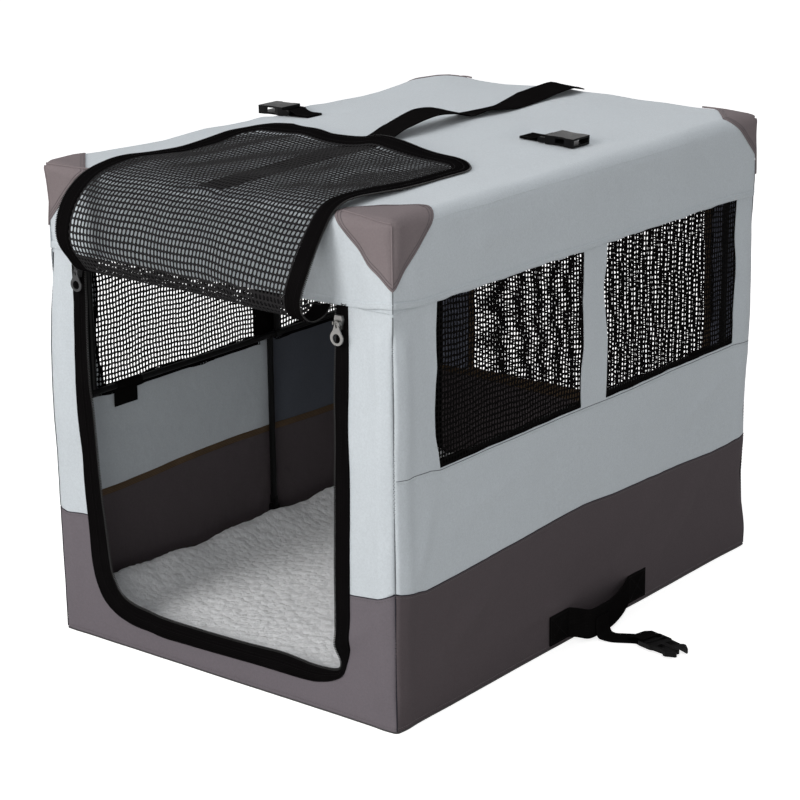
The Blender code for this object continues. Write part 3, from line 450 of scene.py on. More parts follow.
def smooth_line(points, count=240):
    """A smooth curve through points, at equal steps of its length."""
    points = np.asarray(points, float)
    padded = np.concatenate(([2 * points[0] - points[1]], points, [2 * points[-1] - points[-2]]))
    curve = [0.5 * (2 * b + (c - a) * t + (2 * a - 5 * b + 4 * c - d) * t ** 2
                    + (3 * b - a - 3 * c + d) * t ** 3)
             for a, b, c, d in zip(padded[:-3], padded[1:-2], padded[2:-1], padded[3:])
             for t in (k / 10 for k in range(10))]
    curve = np.array(curve + [points[-1]])
    lengths = measured(curve)
    return sample(np.linspace(0, lengths[-1], count), lengths, curve)


def shifted(path, distance, closed=False):
    """A flat path moved sideways, to the right of its direction."""
    path = np.asarray(path, float)
    ahead = np.roll(path, -1, axis=0) - path
    behind = path - np.roll(path, 1, axis=0)
    if not closed:
        ahead[-1] = behind[-1]
        behind[0] = ahead[0]
    ahead, behind = unit(ahead), unit(behind)
    way = unit(ahead + behind)
    stretch = 1 / np.maximum((way * ahead).sum(axis=1), 0.5)
    side = np.stack((way[:, 1], -way[:, 0]), axis=-1)
    return path + side * (distance * stretch)[:, None]


def outward(obj):
    """Turns a closed solid's faces to look outwards."""
    mesh = obj.data
    mesh.calc_loop_triangles()
    corners = np.empty(len(mesh.loop_triangles) * 3, np.int32)
    mesh.loop_triangles.foreach_get("vertices", corners)
    points = np.empty(len(mesh.vertices) * 3)
    mesh.vertices.foreach_get("co", points)
    a, b, c = (points.reshape(-1, 3)[corners[k::3]] for k in range(3))
    if np.einsum("ij,ij->i", a, np.cross(b, c)).sum() < 0:
        mesh.flip_normals()
    return obj


def ring_faces(count, sides, closed=False):
    """Faces of a tube of count rings, with a flat end on each side unless it is closed."""
    faces = []
    for k in range(count if closed else count - 1):
        here, ahead = k * sides, (k + 1) % count * sides
        for s in range(sides):
            m = (s + 1) % sides
            faces.append((here + s, ahead + s, ahead + m, here + m))
    if not closed:
        faces += [tuple(range(sides)), tuple(range(count * sides - 1, (count - 1) * sides - 1, -1))]
    return faces


def band(name, lines, across, lengths, material, closed=False):
    """A solid from lines of points side by side round its section, at distances across."""
    uv = [np.stack((lengths, np.full(len(lengths), v)), axis=-1) for v in across]
    points, uv = np.stack(lines, axis=1).reshape(-1, 3), np.stack(uv, axis=1).reshape(-1, 2)
    return outward(new_object(name, points, ring_faces(len(lengths), len(lines), closed), material, uv))


def ribbon(name, path, profile, surface, material, closed=False):
    """A strip along a flat path, or along the lines that path(across) gives.

    profile is (distance across, height out) round its closed section.
    """
    lane = path if callable(path) else lambda across: shifted(path, across, closed)
    lines = [surface(*lane(across).T, out) for across, out in profile]
    return band(name, lines, [v for v, _ in profile], measured(lane(0.0)), material, closed)


def tape_profile(low, high, out, thick, rounded=0.0004):
    """Section of a flat tape with softened edges, from one side to the other and back."""
    return ((low, out - thick), (low, out - rounded), (low + rounded, out), (high - rounded, out),
            (high, out - rounded), (high, out - thick))


def lining_profile(low, high, out, thick):
    """Section of a tape on the inner side, whose outer face is at out."""
    return ((low, out), (high, out), (high, out - thick + 0.0003), (high - 0.0004, out - thick),
            (low + 0.0004, out - thick), (low, out - thick + 0.0003))


def tube(name, points, radius, material, sides=8):
    """A round cord through points in space."""
    ahead = unit(np.gradient(points, axis=0))
    guide = np.array((0.31, 0.22, 0.93))
    turn = np.arange(sides) * 2 * math.pi / sides
    rings = []
    for p, way in zip(points, ahead):
        side = unit(np.cross(way, guide))
        guide = np.cross(side, way)
        rings.append(p + radius * (np.cos(turn)[:, None] * side + np.sin(turn)[:, None] * guide))
    faces = [f[:1] + f[:0:-1] for f in ring_faces(len(points), sides)]
    return new_object(name, np.concatenate(rings), faces, material)


def join(name, objects):
    """One object from several."""
    with bpy.context.temp_override(active_object=objects[0], object=objects[0], selected_objects=objects,
                                   selected_editable_objects=objects):
        bpy.ops.object.join()
    objects[0].name = name
    objects[0].data.name = name
    return objects[0]


def pillow(length, width, height):
    """A small domed block, sitting a little into what is under it: (points, faces)."""
    points = [(x * length / 2 * wide, y * width / 2 * deep, z)
              for wide, deep, z in ((1, 1, -0.0003), (0.72, 0.55, height))
              for x, y in ((-1, -1), (1, -1), (1, 1), (-1, 1))]
    faces = [(3, 2, 1, 0), (4, 5, 6, 7), (0, 1, 5, 4), (1, 2, 6, 5), (2, 3, 7, 6), (3, 0, 4, 7)]
    return points, faces


STITCH = pillow(0.0028, 0.00075, 0.00022)
TOOTH = pillow(0.00135, 0.0036, 0.0011)
FLAP_TOOTH = pillow(0.00135, 0.0030, 0.0010)
STITCH_STEP, TOOTH_STEP = 0.0038, 0.0021


def copies(name, shape, points, forward, across, normal, material):
    """A small solid at each of some points, turned by the three directions there."""
    local, faces = np.asarray(shape[0], float), shape[1]
    placed = points[:, None]
    for k, way in enumerate((forward, across, normal)):
        placed = placed + way[:, None] * local[None, :, k:k + 1]
    base = np.arange(len(points)) * len(local)
    return new_object(name, placed.reshape(-1, 3), [tuple(b + k for k in f) for b in base for f in faces],
                      material)


def studs(name, path, surface, shape, step, material, closed=False, out=0.0, jitter=0.0):
    """Copies of a small solid along a flat path: stitches or zip teeth."""
    flat, way = evenly(path, step, closed)
    here, reach = surface(*flat.T, 0.0), way * 0.0006
    ahead = surface(flat[:, 0] + reach[:, 0], flat[:, 1] + reach[:, 1], 0.0)
    aside = surface(flat[:, 0] + reach[:, 1], flat[:, 1] - reach[:, 0], 0.0)
    forward = unit(ahead - here)
    across = square_to(aside - here, forward)
    points = surface(*flat.T, out)
    if jitter:
        points = points + across * np.random.default_rng(5).normal(0, jitter, (len(points), 1))
    return copies(name, shape, points, forward, across, np.cross(across, forward), material)


def stitches(name, path, surface, material, closed=False, out=0.0):
    return studs(name, path, surface, STITCH, STITCH_STEP, material, closed, out, jitter=0.00006)


def sew_line(name, line, normals, material, step=STITCH_STEP, out=0.0002):
    """Stitches along a line in space."""
    both, way = evenly(np.concatenate((line, normals), axis=1), step)
    forward = unit(way[:, :3])
    normal = square_to(both[:, 3:], forward)
    points = both[:, :3] + normal * out
    return copies(name, STITCH, points, forward, np.cross(normal, forward), normal, material)


def weld(obj, distance):
    """Joins the points that lie together."""
    bm = bmesh.new()
    bm.from_mesh(obj.data)
    bmesh.ops.remove_doubles(bm, verts=bm.verts, dist=distance)
    bm.to_mesh(obj.data)
    bm.free()
    soften(obj.data)


def thicken(obj, thick):
    """Gives a one-sided sheet its thickness, inwards."""
    modifier = obj.modifiers.new("thickness", "SOLIDIFY")
    modifier.thickness, modifier.offset = thick, -1.0
    graph = bpy.context.evaluated_depsgraph_get()
    mesh, old = bpy.data.meshes.new_from_object(obj.evaluated_get(graph)), obj.data
    obj.modifiers.clear()
    obj.data = mesh
    mesh.name = obj.name
    bpy.data.meshes.remove(old)


# A cell of a net: a hole with round ends in half sizes, and the faces between it and the cell's corners
HOLE = ((-1, -0.55), (-0.5, -1), (0.5, -1), (1, -0.55), (1, 0.55), (0.5, 1), (-0.5, 1), (-1, 0.55))
CELL_FACES = ((8, 1, 0), (8, 9, 2, 1), (9, 3, 2), (9, 10, 4, 3), (10, 5, 4), (10, 11, 6, 5), (11, 7, 6),
              (11, 8, 0, 7))
NET_THICK = 0.0006


def warped(flat, slack):
    """Points of a net pulled out of line, a little at three scales."""
    a, b = flat.T
    warp = (0.0013 * np.sin(b * 31 + a * 9) + 0.0005 * np.sin(b * 122 + a * 47)
            + 0.0003 * np.sin(b * 338 - a * 160),
            0.0018 * np.sin(a * 43 - b * 13) + 0.0005 * np.sin(a * 109 - b * 38)
            + 0.0003 * np.sin(a * 321 + b * 143))
    return flat + slack * np.stack(warp, axis=-1)


def lattice(name, u_range, v_range, pitch, strand, surface, material, out=0.0, keep=None, slack=1.0):
    """A knitted net: tall holes with round ends. keep(u, v) says which cells have a hole."""
    low, high = np.transpose((u_range, v_range))
    counts = [max(1, int(round(n))) for n in (high - low) / pitch]
    size = (high - low) / counts
    i, j = np.meshgrid(*(np.arange(n) for n in counts), indexing="ij")
    centre = low + (np.stack((i, j), axis=-1).reshape(-1, 2) + 0.5) * size
    if keep is not None:
        centre = centre[keep(centre[:, 0], centre[:, 1])]
    hole = np.array(HOLE) * ((size - strand) / 2)
    corner = np.array([(-1, -1), (1, -1), (1, 1), (-1, 1)]) * (size / 2)
    cell = np.concatenate((hole, corner))
    flat = warped((centre[:, None] + cell[None]).reshape(-1, 2), slack)
    outer, inner = (surface(*flat.T, o) for o in (out, out - NET_THICK))
    total = len(flat)
    faces = []
    for base in range(0, total, len(cell)):
        for f in CELL_FACES:
            faces.append(tuple(base + q for q in f))
            faces.append(tuple(total + base + q for q in f[::-1]))
        for q in range(8):
            n = (q + 1) % 8
            faces.append((base + q, base + n, total + base + n, total + base + q))
    obj = new_object(name, np.concatenate((outer, inner)), faces, material, np.concatenate((flat, flat)))
    weld(obj, 0.00004)
    return obj


# ---------------------------------------------------------------- materials
class Nodes:
    """The nodes of a material or a world in the making."""

    def __init__(self, owner):
        owner.use_nodes = True
        self.owner, self.tree = owner, owner.node_tree

    def add(self, kind, inputs=(), output=0, **settings):
        """An output of a new node."""
        node = self.tree.nodes.new("ShaderNode" + kind)
        for key, value in settings.items():
            setattr(node, key, value)
        self.feed(node, dict(inputs))
        return node.outputs[output]

    def feed(self, node, inputs):
        for key, value in inputs.items():
            if isinstance(value, bpy.types.NodeSocket):
                self.tree.links.new(value, node.inputs[key])
            else:
                node.inputs[key].default_value = value

    def calc(self, operation, *values):
        return self.add("Math", enumerate(values), operation=operation)

    def remap(self, value, low, high, start, end):
        return self.add("MapRange", {0: value, 1: low, 2: high, 3: start, 4: end})

    def mix(self, share, low, high, blend="MIX"):
        return self.add("Mix", {0: share, 6: low, 7: high}, 2, data_type="RGBA", blend_type=blend)

    def noise(self, scale, detail, **more):
        place = self.add("TexCoord", output="Object")
        return self.add("TexNoise", {"Vector": place, "Scale": scale, "Detail": detail, **more})

    def bump(self, height, strength, distance, below=None, invert=False):
        inputs = {"Height": height, "Strength": strength, "Distance": distance}
        return self.add("Bump", {**inputs, "Normal": below} if below else inputs, invert=invert)

    def cloth_axes(self):
        """Distances along and across the cloth."""
        return self.add("SeparateXYZ", {0: self.add("UVMap", uv_map="cloth")}).node.outputs[:2]

    def material(self, **values):
        """The finished material, with what its shader's sockets get."""
        named = {key.replace("_", " "): value for key, value in values.items()}
        self.feed(self.tree.nodes["Principled BSDF"], named)
        return self.owner


def shade(colour, share=1.0):
    return tuple(c * share for c in colour) + (1.0,)


def woven(name, colour, cloudy=0.10, sheen=0.15, specular=0.22):
    """Coated polyester cloth: weave with painted shade in its dips, faint clouding and a little sheen."""
    look = Nodes(bpy.data.materials.new(name))
    pitch, rough = 0.00075, 0.82
    waves = [look.calc("SINE", look.calc("MULTIPLY", axis, math.pi / pitch)) for axis in look.cloth_axes()]
    weave = look.calc("MULTIPLY_ADD", look.calc("MULTIPLY", *waves), 0.5, 0.5)
    clouds = look.noise(7.0, 4.0, Roughness=0.6)
    fleck = look.remap(look.noise(420.0, 2.0), 0.3, 0.7, 0.0, 1.0)
    clouded = look.mix(clouds, shade(colour, 1 - cloudy), shade(colour, 1 + cloudy))
    flecked = look.mix(fleck, shade(colour, 0.90), shade(colour, 1.08))
    # Painted shade: the colour is darkened in the dips of the weave.
    gap = look.remap(weave, 0.0, 0.6, 0.80, 1.0)
    weave_shade = look.add("CombineColor", {0: gap, 1: gap, 2: gap})
    creased = look.noise(38.0, 5.0, Roughness=0.62)
    return look.material(
        Base_Color=look.mix(1.0, look.mix(0.5, clouded, flecked), weave_shade, "MULTIPLY"),
        Roughness=look.remap(clouds, 0.3, 0.7, rough - 0.07, rough + 0.08),
        Normal=look.bump(creased, 0.30, 0.0035, look.bump(weave, 0.35, pitch * 0.6)),
        Specular_IOR_Level=specular, Sheen_Weight=sheen, Sheen_Roughness=0.45)


def webbing(name, colour, rough):
    """Ribbed polypropylene webbing: ribs along it and a cross weave, painted darker in the grooves and lighter
    on the tops.
    """
    look = Nodes(bpy.data.materials.new(name))
    lengthwise, across = look.cloth_axes()
    rib = look.calc("SINE", look.calc("MULTIPLY", across, 2 * math.pi / 0.0021))
    lean = look.calc("MULTIPLY", across, 2 * math.pi / 0.0042)
    pick = look.calc("SINE", look.calc("MULTIPLY_ADD", lengthwise, 2 * math.pi / 0.0016, lean))
    height = look.remap(look.calc("MULTIPLY_ADD", pick, 0.5, rib), -1.5, 1.5, 0.0, 1.0)
    fuzz = look.noise(900.0, 3.0)
    wear = look.remap(look.noise(24.0, 4.0), 0.5, 0.75, 0.0, 0.3)
    # Painted shade and highlight: darker in the grooves between the ribs, lighter on their tops.
    rib_light_and_shade = look.mix(height, shade(colour, 0.55), shade(colour, 1.25))
    return look.material(
        Base_Color=look.mix(wear, rib_light_and_shade, shade(colour, 1.6)),
        Roughness=look.remap(fuzz, 0.0, 1.0, rough - 0.1, rough + 0.12),
        Normal=look.bump(fuzz, 0.2, 0.0003, look.bump(height, 0.55, 0.0005)),
        Specular_IOR_Level=0.0)


def grained(name, colour, rough, scale, depth, metallic=0.0, specular=0.5, worn=None):
    """Plastic, painted steel, yarn or cast metal: fine grain, uneven gloss and slight colour change."""
    look = Nodes(bpy.data.materials.new(name))
    patchy = look.noise(30.0, 4.0)
    base = look.mix(patchy, shade(colour, 0.92), shade(colour, 1.08))
    if worn:
        base = look.mix(look.remap(patchy, 0.60, 0.72, 0.0, 0.4), base, shade(worn))
    return look.material(
        Base_Color=base, Metallic=metallic, Specular_IOR_Level=specular,
        Roughness=look.remap(patchy, 0.25, 0.75, rough - 0.08, rough + 0.1),
        Normal=look.bump(look.noise(scale, 3.0), depth, 0.0004))


def fleece(name, colour):
    """Short curly pile, painted darker in the hollows of its curls."""
    look = Nodes(bpy.data.materials.new(name))
    curl = look.noise(170.0, 5.0, Roughness=0.65, Distortion=0.6)
    place = look.add("TexCoord", output="Object")
    tuft = look.add("TexVoronoi", {"Vector": place, "Scale": 95.0, "Randomness": 1.0}, "Distance")
    # Painted shade: the colour is darker in the hollows of the curls, which the same noise raises as bumps.
    curl_hollow_shade = look.remap(curl, 0.35, 0.62, 0.0, 1.0)
    return look.material(
        Base_Color=look.mix(curl_hollow_shade, shade(colour, 0.86), shade(colour, 1.03)),
        Roughness=look.remap(curl, 0.0, 1.0, 0.85, 1.0),
        Normal=look.bump(curl, 0.8, 0.002, look.bump(tuft, 0.6, 0.003, invert=True)),
        Specular_IOR_Level=0.15, Sheen_Weight=0.5, Sheen_Roughness=0.6)


def fibre(name, colour, rough=0.6, scale=2500, depth=0.5, specular=0.5):
    return grained(name, colour, rough, scale, depth, specular=specular)


def metal(name, colour, metallic, worn):
    return grained(name, colour, 0.40, 900, 0.15, metallic, worn=worn)


light_cloth = woven("light_cloth", (0.563, 0.604, 0.634))
# Two copies of one taupe cloth with painted light: a darker one for the side and back kick panels (painted
# shade), a lighter one for the front kick panel (painted light).
taupe_cloth = woven("taupe_cloth", (0.094, 0.0785, 0.0835), 0.14, 0.0, 0.04)
front_lit_taupe = woven("front_taupe_cloth", (0.156, 0.138, 0.153), 0.12, 0.0, 0.06)
patch_cloth = woven("patch_cloth", (0.205, 0.172, 0.176), 0.14, 0.0, 0.06)
floor_cloth = woven("floor_cloth", (0.05, 0.045, 0.047), 0.15)
# Painted shade for the inner faces deep inside: darker, bluer copies of the light cloth, for the back wall and
# the rear halves of the sides.
side_inner_shade = woven("side_inner_shade", (0.096, 0.104, 0.124), 0.10, 0.0, 0.05)
back_inner_shade = woven("back_inner_shade", (0.215, 0.225, 0.285), 0.10, 0.0, 0.05)
black_binding = webbing("black_binding", (0.0045, 0.0040, 0.0042), 0.75)
brown_binding = webbing("brown_binding", (0.11, 0.075, 0.048), 0.75)
black_web = webbing("black_web", (0.0066, 0.0060, 0.0060), 0.68)
piping = fibre("piping", (0.016, 0.015, 0.015), scale=1400, depth=0.4)
net_yarn = fibre("net_yarn", (0.0062, 0.0057, 0.0057), 0.7, 1600, specular=0.0)
flap_yarn = fibre("flap_yarn", (0.0185, 0.0178, 0.0185), 0.7, 1600, specular=0.02)
light_thread = fibre("light_thread", (0.46, 0.50, 0.52))
taupe_thread = fibre("taupe_thread", (0.085, 0.07, 0.075))
black_thread = fibre("black_thread", (0.0045, 0.0040, 0.0042), specular=0.03)
# Painted seam shadow: dark strips along the kick seam and in the corners' dark part, grey lines along the
# waist seam, the corners' light part and the skirt's corners.
seam_shadow_dark = fibre("seam_shadow_dark", (0.026, 0.025, 0.032), 0.7, 2200, 0.4, 0.05)
seam_shadow_grey = fibre("seam_shadow_grey", (0.15, 0.16, 0.17), 0.7, 2200, 0.4, 0.05)
nylon_teeth = fibre("nylon_teeth", (0.007, 0.0066, 0.0066), 0.42, 2200, 0.2, 0.25)
plastic = grained("moulded_plastic", (0.0042, 0.0040, 0.0042), 0.38, 1500, 0.25, specular=0.07,
                  worn=(0.012, 0.012, 0.012))
steel_paint = grained("powder_coat", (0.0055, 0.0055, 0.0058), 0.42, 1100, 0.35, specular=0.10,
                      worn=(0.014, 0.014, 0.014))
ZIP_METALS = {"right": metal("zip_metal", (0.22, 0.215, 0.21), 1.0, (0.24, 0.24, 0.25)),
              "left": metal("zip_dark", (0.045, 0.045, 0.047), 0.6, (0.02, 0.02, 0.02))}
pad_fleece = fleece("pad_fleece", (0.93, 0.935, 0.945))


# ---------------------------------------------------------------- seam lines, from the photograph
KICK_RIGHT = ((-0.3935, -0.37, -0.34, -0.28, -0.215, -0.15, -0.08, -0.01, 0.064, 0.14, 0.22, 0.30, 0.344,
               0.387, 0.3935),
              (0.174, 0.170, 0.1637, 0.1638, 0.1654, 0.1684, 0.1716, 0.1744, 0.1711, 0.1697, 0.1656, 0.1614,
               0.1611, 0.1646, 0.165))
KICK_FRONT = ((-0.2715, -0.256, -0.228, -0.20, 0.18, 0.207, 0.234, 0.251, 0.269, 0.2715),
              (0.168, 0.165, 0.167, 0.166, 0.160, 0.159, 0.162, 0.166, 0.1735, 0.174))
# The seam across the sides, at the foot of the windows
WAIST = ((0.0, 0.065, 0.085, 0.375, 0.428, 0.741, 0.787),
         (0.3100, 0.3062, 0.3021, 0.3016, 0.3014, 0.3012, 0.2985))


def by_side(u, front, right, back, left):
    return np.where(u < STARTS[1], front, np.where(u < STARTS[2], right, np.where(u < STARTS[3], back, left)))


def kick_seam(u):
    """Height of the seam between the dark panels and the light ones."""
    u = np.asarray(u, float) % GIRTH
    clear = smooth(corner_gap(u) / 0.06)
    result = by_side(u, np.interp(u - HALF_W, *KICK_FRONT), np.interp(u - STARTS[1] - HALF_L, *KICK_RIGHT),
                     0.1665 + 0.002 * np.cos(u * 21) * clear,
                     0.1675 + 0.0025 * np.cos(u * 13 + 1) * clear * clear)
    for place, height in ((STARTS[2], 0.165), (STARTS[3], 0.1665)):
        result += (height - result) * bump(past(u, place), 0.01)
    return result


def waist_height(u):
    right, left = np.interp(u - STARTS[1], *WAIST), np.interp(GIRTH - u, *WAIST)
    return by_side(u, right, right, 0.2985 + 0.0006 * np.cos((u - STARTS[2]) * 23), left)


# Inner and outer edge of the doorway's zip tape, from the upper left round to the upper right: (x, z, x, z)
TAPE_EDGES = (
    (-0.2085, 0.5070, -0.2300, 0.5070), (-0.2083, 0.3591, -0.2290, 0.3600), (-0.2035, 0.3000, -0.2282, 0.3000),
    (-0.1985, 0.2159, -0.2247, 0.2150), (-0.1915, 0.1500, -0.2200, 0.1500), (-0.1878, 0.1150, -0.2180, 0.1100),
    (-0.1842, 0.0960, -0.2110, 0.0790), (-0.1765, 0.0830, -0.1990, 0.0565), (-0.1640, 0.0690, -0.1780, 0.0415),
    (-0.1450, 0.0615, -0.1500, 0.0335), (-0.1200, 0.0580, -0.1200, 0.0315), (-0.0989, 0.0555, -0.0960, 0.0290),
    (-0.0500, 0.0548, -0.0500, 0.0300), (0.0200, 0.0551, 0.0200, 0.0318), (0.0581, 0.0558, 0.0500, 0.0325),
    (0.0980, 0.0575, 0.0972, 0.0327), (0.1372, 0.0552, 0.1366, 0.0335), (0.1565, 0.0550, 0.1561, 0.0365),
    (0.1740, 0.0565, 0.1757, 0.0430), (0.1860, 0.0605, 0.1910, 0.0535), (0.1890, 0.0700, 0.1985, 0.0730),
    (0.1840, 0.0830, 0.2028, 0.0890), (0.1813, 0.0966, 0.2031, 0.1000), (0.1817, 0.1470, 0.2034, 0.1520),
    (0.1847, 0.2710, 0.2062, 0.2760), (0.1881, 0.3920, 0.2073, 0.3960), (0.1908, 0.5070, 0.2073, 0.5070),
)
TAPE_WIDTH = 0.021
TAPE_LINES = smooth_line(TAPE_EDGES, 300) + (HALF_W, 0, HALF_W, 0)


def door_lane(across):
    """A line along the doorway's tape, at a distance from its inner edge where it has its plain width."""
    return TAPE_LINES[:, :2] + (TAPE_LINES[:, 2:] - TAPE_LINES[:, :2]) * across / TAPE_WIDTH


def ride_wall(*pieces):
    for obj in pieces:
        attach(obj, "base")
        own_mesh(obj)


# ---------------------------------------------------------------- walls
WALL_STEP = 0.0065
KICK_LOW, WALL_TOP = 0.0015, 0.5995
TAPE_STEP = 0.006
# Distances from a corner at which the walls have columns of points
CORNER_COLUMNS = (0.0013, 0.0026, 0.0040, 0.0056, 0.0075, 0.0100, 0.0130, 0.0165, 0.0205, 0.0250)


def seam_path(u0, u1):
    u = np.linspace(u0, u1, int((u1 - u0) / 0.006) + 2)
    return np.stack((u, kick_seam(u)), axis=-1)


def straight(*corners):
    return dense(corners, WALL_STEP)


def panel(name, outline, holes, material, node, lining=None, shaded_from=-1.0):
    """A sewn panel of the wall."""
    low, high = outline.min(axis=0), outline.max(axis=0)
    columns = []
    for number, gap in enumerate(CORNER_COLUMNS):
        z = np.arange(low[1] + 0.002 + 0.0022 * (number % 2), high[1], 0.0045)
        columns += [np.stack((np.full(len(z), u), z), axis=-1) for u in (low[0] + gap, high[0] - gap)
                    if corner_gap(np.array(u)) < 0.03]
    flat, faces = fill(outline, holes, WALL_STEP, np.concatenate(columns))
    obj = cloth(name, flat, faces, skin, CLOTH, material, lining=lining, shaded_from=shaded_from)
    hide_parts(node)
    return obj


hole = door_lane(0.0085)
left_end, right_end = hole[0, 0], hole[-1, 0]


def kick_panel(side):
    """A dark lower panel, sewn to its neighbours at the corners."""
    start, end = ends_of(side)
    top = seam_path(start, end)
    upper = top[::-1]
    if side == "front":
        cut = hole[hole[:, 1] < kick_seam(hole[:, 0])]
        upper = np.concatenate((upper[upper[:, 0] > cut[-1, 0] + 0.001], cut[::-1],
                                upper[upper[:, 0] < cut[0, 0] - 0.001]))
    outline = loop_of(straight((start, KICK_LOW), (end, KICK_LOW)), straight((end, KICK_LOW), top[-1]), upper,
                      straight(top[0], (start, KICK_LOW)))
    # The front panel gets the lighter, lit copy of the taupe, the others the darker, shaded copy.
    material = front_lit_taupe if side == "front" else taupe_cloth
    return panel(side + "_kick", outline, [], material, side + "_kick_panel")


def front_light(side):
    """The light panel on one side of the doorway."""
    above = hole[:, 1] > kick_seam(hole[:, 0])
    half = len(hole) // 2
    if side == "left":
        edge, end = hole[:half][above[:half]], 0.0
        outline = loop_of(seam_path(end, edge[-1, 0]), edge[::-1],
                          straight((edge[0, 0], WALL_TOP), (end, WALL_TOP)),
                          straight((end, WALL_TOP), (end, kick_seam(end))))
    else:
        edge, end = hole[half:][above[half:]], STARTS[1]
        outline = loop_of(seam_path(edge[0, 0], end), straight((end, kick_seam(end)), (end, WALL_TOP)),
                          straight((end, WALL_TOP), (edge[-1, 0], WALL_TOP)), edge[-2::-1])
    return panel("front_light_" + side, outline, [], light_cloth, "front_panel_" + side)


# How far the side windows' upright edges stray towards the back, by height, in millimetres:
# for the windows in view or not, front edge and back edge
STRAY_Z = (0.304, 0.323, 0.344, 0.352, 0.380, 0.406, 0.427, 0.440, 0.452, 0.471, 0.504)
STRAY = (((6.8, 4.0, -1.0, -1.5, -2.4, -0.4, 2.0, 1.5, 0.8, 0.6, 2.4),
          (1.2, 0.4, 0.2, 0.8, 5.0, 4.0, 2.0, 0.4, 1.2, 2.2, 2.6)),
         ((0.0, 0.6, 1.4, 1.8, 3.0, -1.0, -4.0, -6.0, -7.5, -3.0, 0.0),
          (0.0, -0.8, -1.6, -1.0, 0.8, 1.6, 0.8, -0.4, -1.2, 0.0, 0.8)))


def box_path(u0, u1, z0, z1, radius):
    """A rectangle with rounded corners, anticlockwise, as a closed path."""
    points = []
    for cu, cz, turn in ((u1 - radius, z0 + radius, -90), (u1 - radius, z1 - radius, 0),
                         (u0 + radius, z1 - radius, 90), (u0 + radius, z0 + radius, 180)):
        for k in range(5):
            angle = math.radians(turn + 22.5 * k)
            points.append((cu + radius * math.cos(angle), cz + radius * math.sin(angle)))
    return dense(points, 0.006, closed=True)


def wobble(u, z):
    """Slight waviness of cut and sewn edges."""
    return 0.0011 * add_waves(MIDDLE, u * 1.7, z * 1.3)


def window_outline(side, a, b, low, high):
    """The wavy edge of a window."""
    path = box_path(a, b, low, high, 0.0012)
    u, z = path.T
    upright = smooth((z - low) / 0.006)
    result = np.stack((u + wobble(u, z), z + wobble(u + 0.7, z + 0.3) * (0.3 + 0.7 * upright)), axis=-1)
    if side != "back":
        sign = 1 if side == "right" else -1
        rear = (a + b) / 2 > along(side, 0)
        front_edge, back_edge = (np.interp(z, STRAY_Z, stray) for stray in STRAY[int(rear == (sign > 0))])
        share = (u - a) / (b - a)
        share = share if sign > 0 else 1 - share
        result[:, 0] += 0.001 * sign * (front_edge * (1 - share) + back_edge * share)
    return result


def window_spans(side):
    """(start, end, low, high) of each window in a side."""
    if side == "back":
        return [(*sorted(along(side, a) for a in BACK_WINDOW[:2]), *BACK_WINDOW[2:])]
    return [(*sorted(along(side, a) for a in window), WINDOW_LOW, WINDOW_HIGH) for window in WINDOWS]


def fit_net(side, index, span, edge):
    """A window's net and the binding round it, on the inner side."""
    a, b, low, high = span
    strand = (0.0019, 0.0018) if side == "right" else (0.0024, 0.0021)
    net = lattice(f"{side}_net_{index}", (a - 0.010, b + 0.010), (low - 0.010, high + 0.010),
                  (0.0056, 0.0067), strand, skin, net_yarn, out=-CLOTH - 0.0002)
    if side == "back":
        node, trim, narrow = "back_window_net", brown_binding, 0.75
    else:
        node, trim = f"{side}_window_net_" + ("rear" if index else "front"), black_binding
        narrow = 0.24 + 0.76 * (1 - smooth((edge[:, 1] - low - 0.001) / 0.004))
    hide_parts(node)
    bind = ribbon(f"{side}_net_binding_{index}", lambda across: shifted(edge, across * narrow, True),
                  lining_profile(-0.004, 0.010, -CLOTH - 0.0009, 0.0008), skin, trim, closed=True)
    ride_wall(net, bind)


def light_panel(side):
    """The light panel of a side or the back, with its windows."""
    u0, u1 = ends_of(side)
    outline = loop_of(seam_path(u0, u1), straight((u1, kick_seam(u1)), (u1, WALL_TOP)),
                      straight((u1, WALL_TOP), (u0, WALL_TOP)), straight((u0, WALL_TOP), (u0, kick_seam(u0))))
    spans = window_spans(side)
    holes = [window_outline(side, *span) for span in spans]
    # The inside of the back, and of the sides' rear halves, gets painted shade.
    lining = (back_inner_shade, -1.0) if side == "back" else (side_inner_shade, 0.012)
    result = panel(side + "_light", outline, holes, light_cloth, side + "_panel", *lining)
    for index, (span, edge) in enumerate(zip(spans, holes)):
        fit_net(side, index, span, edge)
    return result


def pillar_tape(side):
    """Black tape inside, over the strip between the side windows."""
    path = dense([(along(side, 0.006), 0.300), (along(side, 0.006), 0.508)], TAPE_STEP)
    profile = lining_profile(-0.021, 0.021, -CLOTH - 0.0017, 0.0007)
    return ribbon(side + "_pillar_tape", path, profile, skin, black_binding)


def corner_tape(name, place):
    """Black tape inside, up a corner and round it."""
    half_lanes = (0.001, 0.002, 0.003, 0.0045, 0.0065, 0.009, 0.012)
    lanes = [-v for v in half_lanes[::-1]] + [0.0, *half_lanes]
    section = [(v, -CLOTH - 0.0002) for v in lanes] + [(v, -CLOTH - 0.0009) for v in reversed(lanes)]
    path = dense([(place, 0.018), (place, 0.500)], TAPE_STEP)
    return ribbon(f"{name}_corner_tape", path, section, skin, black_binding)


walls = [kick_panel(side) for side in SIDES]
walls += [front_light(side) for side in ("left", "right")]
walls += [light_panel(side) for side in ("right", "back", "left")]
walls += [pillar_tape(side) for side in ("right", "left")]
walls += [corner_tape(name, place) for name, place in CORNER_U.items()]
ride_wall(*walls)


# ---------------------------------------------------------------- roof cover
def ring_places(step, start=0.0, end=GIRTH, fine=0.0022):
    """Places round the girth, closer together at the corners."""
    places, u = [], start
    while u < end - fine / 2:
        places.append(u)
        u += fine if corner_gap(np.array((u, u + fine)) % GIRTH).min() < 0.015 else step
    return np.array(places)


